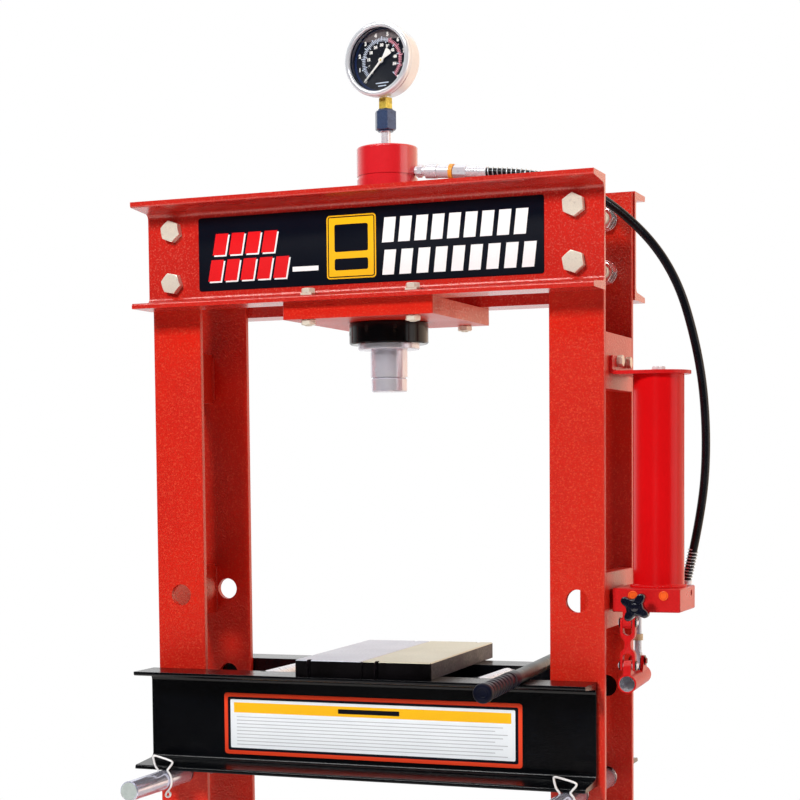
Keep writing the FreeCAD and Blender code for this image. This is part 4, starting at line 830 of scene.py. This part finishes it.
parts = [(lv, lf, 0)] + pin_parts(ay, az, LX - 0.0145, LX + 0.0145, 1, 2) + pin_parts(ay, bz, LX - 0.0145, LX + 0.0145, 1, 2)
join_mesh("link_arm_forged", parts, [RED2, ZINCB, OXIDE], "link", "link_arm", slot="red_gloss")

# =============================================================== handle grip
HA = V((0.2604, -0.357, T - 0.7117 + 0.01005))
HB = V((0.229 - 0.0724 * 0.1635, 0.241, T - 0.7117 + 0.01005))
hd = (HB - HA).normalized()
gpz = [(0.0, 0.0016), (0.0050, 0.0016), (0.0056, 0.0006), (0.0080, 0.0006), (0.0086, 0.0), (0.0114, 0.0), (0.0130, 0.0010), (0.0136, 0.0032), (0.0136, 0.0128), (0.0124, 0.0140)]
x = 0.0150
for i in range(7):
    gpz += [(0.0112, x), (0.0112, x + 0.0040), (0.0125, x + 0.0062), (0.0126, x + 0.0110), (0.0125, x + 0.0152)]
    x += 0.0175
gpz += [(0.0112, x), (0.0112, 0.1490), (0.0126, 0.1510), (0.0126, 0.1550), (0.0112, 0.1562), (0.0112, 0.1590), (0.0120, 0.1600), (0.0120, 0.1850), (0.0114, 0.1860), (0.01005, 0.1860),
        (0.01005, 0.0300), (0.0, 0.0300)]
gpz = rounded(gpz, 0.0009, 3)
v, f = lathe_data(gpz, HA, hd, 72, closed=False)
join_mesh("handle_grip_ribbed", [(v, f)], GRIP, "loose_handle", "handle_grip", slot="hose_rubber", angle=60)

# =============================================================== wire clips through the bed pins
PIN_Z = (T * 1000 - 597.6 - 2 * 138.8 - 1.5) / 1000
CL = [(-5, -18), (-5, -6), (-5, 6), (-5, 14.5), (-7.2, 17.8), (-10.4, 21.5), (-12.4, 28.0), (-13.8, 34.0), (-13.9, 36.8), (-11.6, 38.0), (-6.0, 37.0), (4.0, 34.6), (13.0, 32.2), (17.6, 30.6),
      (19.2, 28.6), (17.8, 25.6), (12.8, 20.0), (10.2, 17.0), (10.2, 15.4), (13.2, 12.0), (16.2, 7.0), (17.3, 0.5), (16.2, -7.0), (12.6, -13.0), (8.6, -17.2), (6.4, -20.2),
      (6.8, -23.6), (10.0, -25.0), (13.6, -23.4), (14.8, -20.2), (13.4, -17.4), (11.8, -16.6)]
def clip_obj(name, xc, yc):
    cu = bpy.data.curves.new(name, "CURVE")
    cu.dimensions = "3D"
    s = cu.splines.new("NURBS")
    s.points.add(len(CL) - 1)
    for p, (dx, dz) in zip(s.points, CL):
        p.co = (xc + dx / 1000, yc, PIN_Z + dz / 1000, 1.0)
    s.order_u = 3
    s.use_endpoint_u = True
    cu.resolution_u = 8
    cu.bevel_depth = 0.0016
    cu.bevel_resolution = 5
    cu.use_fill_caps = True
    o = bpy.data.objects.new(name, cu)
    SC.collection.objects.link(o)
    bpy.context.view_layer.update()
    me = bpy.data.meshes.new_from_object(o.evaluated_get(bpy.context.evaluated_depsgraph_get()))
    vs = [v.co.copy() for v in me.vertices]
    fs = [tuple(p.vertices) for p in me.polygons]
    bpy.data.objects.remove(o)
    bpy.data.meshes.remove(me)
    return vs, fs
for side, sx in (("left", -1), ("right", 1)):
    parts = [(*clip_obj("c", sx * 0.3155, s * 0.1635), 0) for s in (-1, 1)]
    join_mesh("pin_clips_%s_bent_wire" % side, parts, WIRE, "pin_" + side, "pin_clips_" + side, slot="spring_steel", angle=60)

# =============================================================== plain panels: bands and blocks only
def plate_piece(name, x0, z0, x1, z1, y_back, y_front, r, m, body, *rep, slot=None, rim=0.0003):
    v, f = prism(rrect(x0, z0, x1, z1, r), (0, y_back, 0), (1, 0, 0), (0, 0, 1), y_back - y_front, rim, 2)
    return join_mesh(name, [(v, f)], m, body, *rep, slot=slot)
def flats(name, shapes, y, m, body, th=0.00025):
    parts = [(*prism(s, (0, y, 0), (1, 0, 0), (0, 0, 1), th), 0) for s in shapes]
    return join_mesh(name, parts, m, body, smooth=False)
def quad(x0, z0, x1, z1, lean=0.0):
    return [(x0, z0), (x1, z0), (x1 + lean, z1), (x0 + lean, z1)]
py = -0.0965
plate_piece("head_panel", -0.2715, T - 0.1333, 0.2715, T - 0.023, -0.0955, py, 0.004, PANEL, "frame", "nameplate_panel", slot="panel")
reds, whites, backs = [], [], []
for r, (z0, z1, n, x0) in enumerate(((T - 0.0800, T - 0.0480, 4, -0.2480), (T - 0.1190, T - 0.0870, 5, -0.2560))):
    for i in range(n):
        x = x0 + 0.0270 * i
        backs.append(quad(x + 0.0022, z0 - 0.0022, x + 0.0232, z1 - 0.0022, 0.0060))
        reds.append(quad(x, z0, x + 0.0210, z1, 0.0060))
for r, (z0, z1, n, x0) in enumerate(((T - 0.0760, T - 0.0400, 9, 0.0270), (T - 0.1230, T - 0.0870, 9, 0.0270))):
    for i in range(n):
        x = x0 + (0.0250 if r == 0 else 0.0265) * i
        whites.append(quad(x, z0, x + 0.0180, z1, 0.0040))
whites.append(quad(-0.1160, T - 0.1110, -0.0740, T - 0.1040, 0.0))
flats("head_panel_white_edges", backs, py, PWHT, "frame", 0.00010)
flats("head_panel_red_stripes", reds, py - 0.00008, PRED, "frame", 0.00014)
flats("head_panel_white_stripes", whites, py, PWHT, "frame")
flats("head_panel_amber_block", [rrect(-0.0605, T - 0.1255, 0.0175, T - 0.0325, 0.005)], py, PAMB, "frame", 0.00014)
def outline_ring(x0, z0, x1, z1, r, t, y, th):
    a, b = rrect(x0, z0, x1, z1, r), rrect(x0 + t, z0 + t, x1 - t, z1 - t, max(0.0005, r - t))
    m = len(a)
    v = [V((x, y - d, z)) for d in (0.0, th) for ring in (a, b) for x, z in ring]
    f = []
    for i in range(m):
        j = (i + 1) % m
        f += [(i, j, m + j, m + i), (2 * m + i, 3 * m + i, 3 * m + j, 2 * m + j), (i, 2 * m + i, 2 * m + j, j), (m + i, m + j, 3 * m + j, 3 * m + i)]
    return v, f
ya = py - 0.00012
parts = [(*outline_ring(-0.0585, T - 0.1235, 0.0155, T - 0.0345, 0.0035, 0.0016, ya, 0.00012), 0)]
for bx0, bz0, bx1, bz1 in ((-0.0480, T - 0.0860, 0.0050, T - 0.0460), (-0.0480, T - 0.1130, 0.0050, T - 0.0960)):
    parts.append((*prism(rrect(bx0, bz0, bx1, bz1, 0.003), (0, ya, 0), (1, 0, 0), (0, 0, 1), 0.00012), 0))
join_mesh("head_panel_black_bars", parts, PANEL, "frame", smooth=False)

ly = -0.0987
lz0, lz1 = T - 0.8405, T - 0.7460
plate_piece("bed_panel", -0.239, lz0, 0.237, lz1, -0.0975, ly + 0.0002, 0.005, PORED, "bed", "bed_label_plate", slot="label")
flats("bed_panel_black_line", [rrect(-0.233, lz0 + 0.0060, 0.231, lz1 - 0.0060, 0.003)], ly + 0.0002, PANEL, "bed", 0.00006)
flats("bed_panel_field", [rrect(-0.2285, lz0 + 0.0100, 0.2265, lz1 - 0.0100, 0.002)], ly + 0.00014, PCREAM, "bed", 0.00006)
flats("bed_panel_header", [rrect(-0.2225, lz1 - 0.0300, 0.2205, lz1 - 0.0145, 0.001)], ly + 0.00008, PAMB, "bed", 0.00004)
flats("bed_panel_header_bar", [rrect(-0.0500, lz1 - 0.0258, 0.0480, lz1 - 0.0188, 0.001)], ly + 0.00004, PANEL, "bed", 0.00003)
rules = [quad(-0.2180, lz0 + 0.0150 + 0.0053 * i, (0.2150, 0.1960, 0.2080)[i % 3], lz0 + 0.0150 + 0.0053 * i + 0.0011) for i in range(9)]
flats("bed_panel_rules", rules, ly + 0.00008, PGREY, "bed", 0.00004)

# =============================================================== threads, weld beads and small details
XC = 0.3155
thr = []
for s in (-1, 1):
    for sx in (-1, 1):
        for z in (T - 0.0405, T - 0.1195):
            tip = s * (0.088 + 0.0075 - 0.043)
            thr.append((*thread_data((sx * XC, s * 0.0593, z), (0, -s, 0), 0.0100, abs(tip - s * 0.0593) - 0.0016), 0))
join_mesh("beam_bolt_threads", thr, ZINC, "frame", angle=80)
def ring_path(cx, cy, z, r, n=96, a0=0.0, a1=360.0):
    return [V((cx + r * math.cos(math.radians(a0 + (a1 - a0) * i / n)), cy + r * math.sin(math.radians(a0 + (a1 - a0) * i / n)), z)) for i in range(n + 1)]
welds = [(*bead_data(ring_path(0.415, -0.0085, T - 0.5793, 0.0380), 0.0029, 0.0040, 1), 0)]
join_mesh("reservoir_weld", welds, GLOSS, "frame", angle=70)
welds = []
for sx in (-1, 1):
    for k, (za, zc) in enumerate(((T - 0.2965, T - 0.2165), (T - 0.6375, T - 0.5575), (0.060, 0.140))):
        for sy in (-1, 1):
            xi = sx * (0.3355)
            welds.append((*bead_data([V((xi, sy * 0.0776, za + 0.004)), V((xi, sy * 0.0776, zc - 0.004))], 0.0026, 0.0040, 3 + k), 0))
for sx in (-1, 1):
    for sy in (-1, 1):
        y0, y1 = sorted((sy * 0.078, sy * 0.088))
        xi, xo = sx * 0.2755, sx * 0.3555
        welds.append((*bead_data([V((xi, y0 - 0.001, 0.0085)), V((xo, y0 - 0.001, 0.0085))], 0.0030, 0.0045, 9), 0))
        welds.append((*bead_data([V((xi, y1 + 0.001, 0.0085)), V((xo, y1 + 0.001, 0.0085))], 0.0030, 0.0045, 10), 0))
join_mesh("frame_welds", welds, RED, "frame", angle=70)
welds = []
for x in (-0.176, 0.166):
    for s in (-1, 1):
        zc, r, yy = T - 0.7117 - 0.0146, (0.0140 if s < 0 else 0.0092), s * 0.0903
        pts = [V((x + r * math.cos(a), yy, zc + r * math.sin(a))) for a in [2 * PI * i / 60 for i in range(61)]]
        welds.append((*bead_data(pts, 0.0016, 0.0034, 20), 0))
join_mesh("bed_spacer_welds", welds, BLACK, "bed", angle=70)

rings = []
for x in (0.3895, 0.4336):
    rings.append((*lathe_data([(0.0044, 0.00175), (0.0052, 0.00175), (0.0050, 0.00215), (0.0046, 0.00215)], (x, -0.060, T - 0.590), (0, -1, 0), 40), 0))
join_mesh("valve_plug_rings", rings, ORANGED, "frame")

# =============================================================== floor, light
me = bpy.data.meshes.new("floor")
vs = [(0, 0, 0)] + [(3.0 * math.cos(2 * PI * i / 96), 3.0 * math.sin(2 * PI * i / 96), 0) for i in range(96)]
me.from_pydata([(a, b, c - 0.0005) for a, b, c in vs], [], [(0, i + 1, (i + 1) % 96 + 1) for i in range(96)])
floor = bpy.data.objects.new("floor", me)
SC.collection.objects.link(floor)
me.materials.append(surface("studio_floor", (0.86, 0.86, 0.86), (0.83, 0.83, 0.83), rough=(0.6, 0.7), coarse=2, fine=60, fine_amt=0.1))

w = bpy.data.worlds.new("studio")
SC.world = w
w.use_nodes = True
nt = w.node_tree
nt.nodes.clear()
wo = nt.nodes.new("ShaderNodeOutputWorld")
bg = nt.nodes.new("ShaderNodeBackground")
tcw = nt.nodes.new("ShaderNodeTexCoord")
sx_ = nt.nodes.new("ShaderNodeSeparateXYZ")
ramp = nt.nodes.new("ShaderNodeMapRange")
ramp.interpolation_type = "SMOOTHSTEP"
ramp.inputs[1].default_value, ramp.inputs[2].default_value = -0.40, 0.45
ramp.inputs[3].default_value, ramp.inputs[4].default_value = 0.03, 1.0
nt.links.new(tcw.outputs["Generated"], sx_.inputs[0])
nt.links.new(sx_.outputs[1], ramp.inputs[0])
nt.links.new(ramp.outputs[0], bg.inputs["Strength"])
warm = nt.nodes.new("ShaderNodeMapRange")
warm.interpolation_type = "SMOOTHSTEP"
warm.inputs[1].default_value, warm.inputs[2].default_value = -0.06, 0.16
nt.links.new(sx_.outputs[0], warm.inputs[0])
wmix = nt.nodes.new("ShaderNodeMix")
wmix.data_type = "RGBA"
wmix.inputs[6].default_value = (1.0, 1.0, 1.0, 1.0)
wmix.inputs[7].default_value = (1.45, 1.10, 0.84, 1.0)
nt.links.new(warm.outputs[0], wmix.inputs[0])
nt.links.new(wmix.outputs[2], bg.inputs["Color"])
plain = nt.nodes.new("ShaderNodeBackground")
plain.inputs["Color"].default_value = (1.0, 1.0, 1.0, 1.0)
plain.inputs["Strength"].default_value = 1.0
lp = nt.nodes.new("ShaderNodeLightPath")
pick_bg = nt.nodes.new("ShaderNodeMixShader")
nt.links.new(lp.outputs["Is Camera Ray"], pick_bg.inputs[0])
nt.links.new(bg.outputs[0], pick_bg.inputs[1])
nt.links.new(plain.outputs[0], pick_bg.inputs[2])
nt.links.new(pick_bg.outputs[0], wo.inputs[0])

def area(name, loc, target, size, power, glossy=True, color=(1, 1, 1), size_y=None):
    ld = bpy.data.lights.new(name, "AREA")
    ld.energy = power
    ld.color = color
    ld.shape = "RECTANGLE"
    ld.size = size
    ld.size_y = size_y or size
    o = bpy.data.objects.new(name, ld)
    SC.collection.objects.link(o)
    o.location = loc
    o.rotation_mode = "QUATERNION"
    o.rotation_quaternion = (V(target) - V(loc)).to_track_quat("-Z", "Y")
    o.visible_glossy = glossy
    return o
area("key_front", (-0.45, -3.4, 2.9), (0, 0, 1.1), 0.7, 128.0, glossy=False)
area("fill_front", (0.3, -3.6, 0.8), (0, 0, 1.1), 1.2, 16.0, glossy=False)
area("side_right", (3.0, -0.2, 1.5), (0, 0, 1.15), 1.6, 16.0, size_y=2.4)
area("top", (0.3, 0.2, 3.6), (0, 0, 1.2), 1.8, 12.0)
strip = area("strip_above", (-0.4, -1.9, 3.2), (0, -0.1, 1.45), 3.0, 60.0, size_y=0.35)
strip.visible_diffuse = False

bpy.context.view_layer.update()
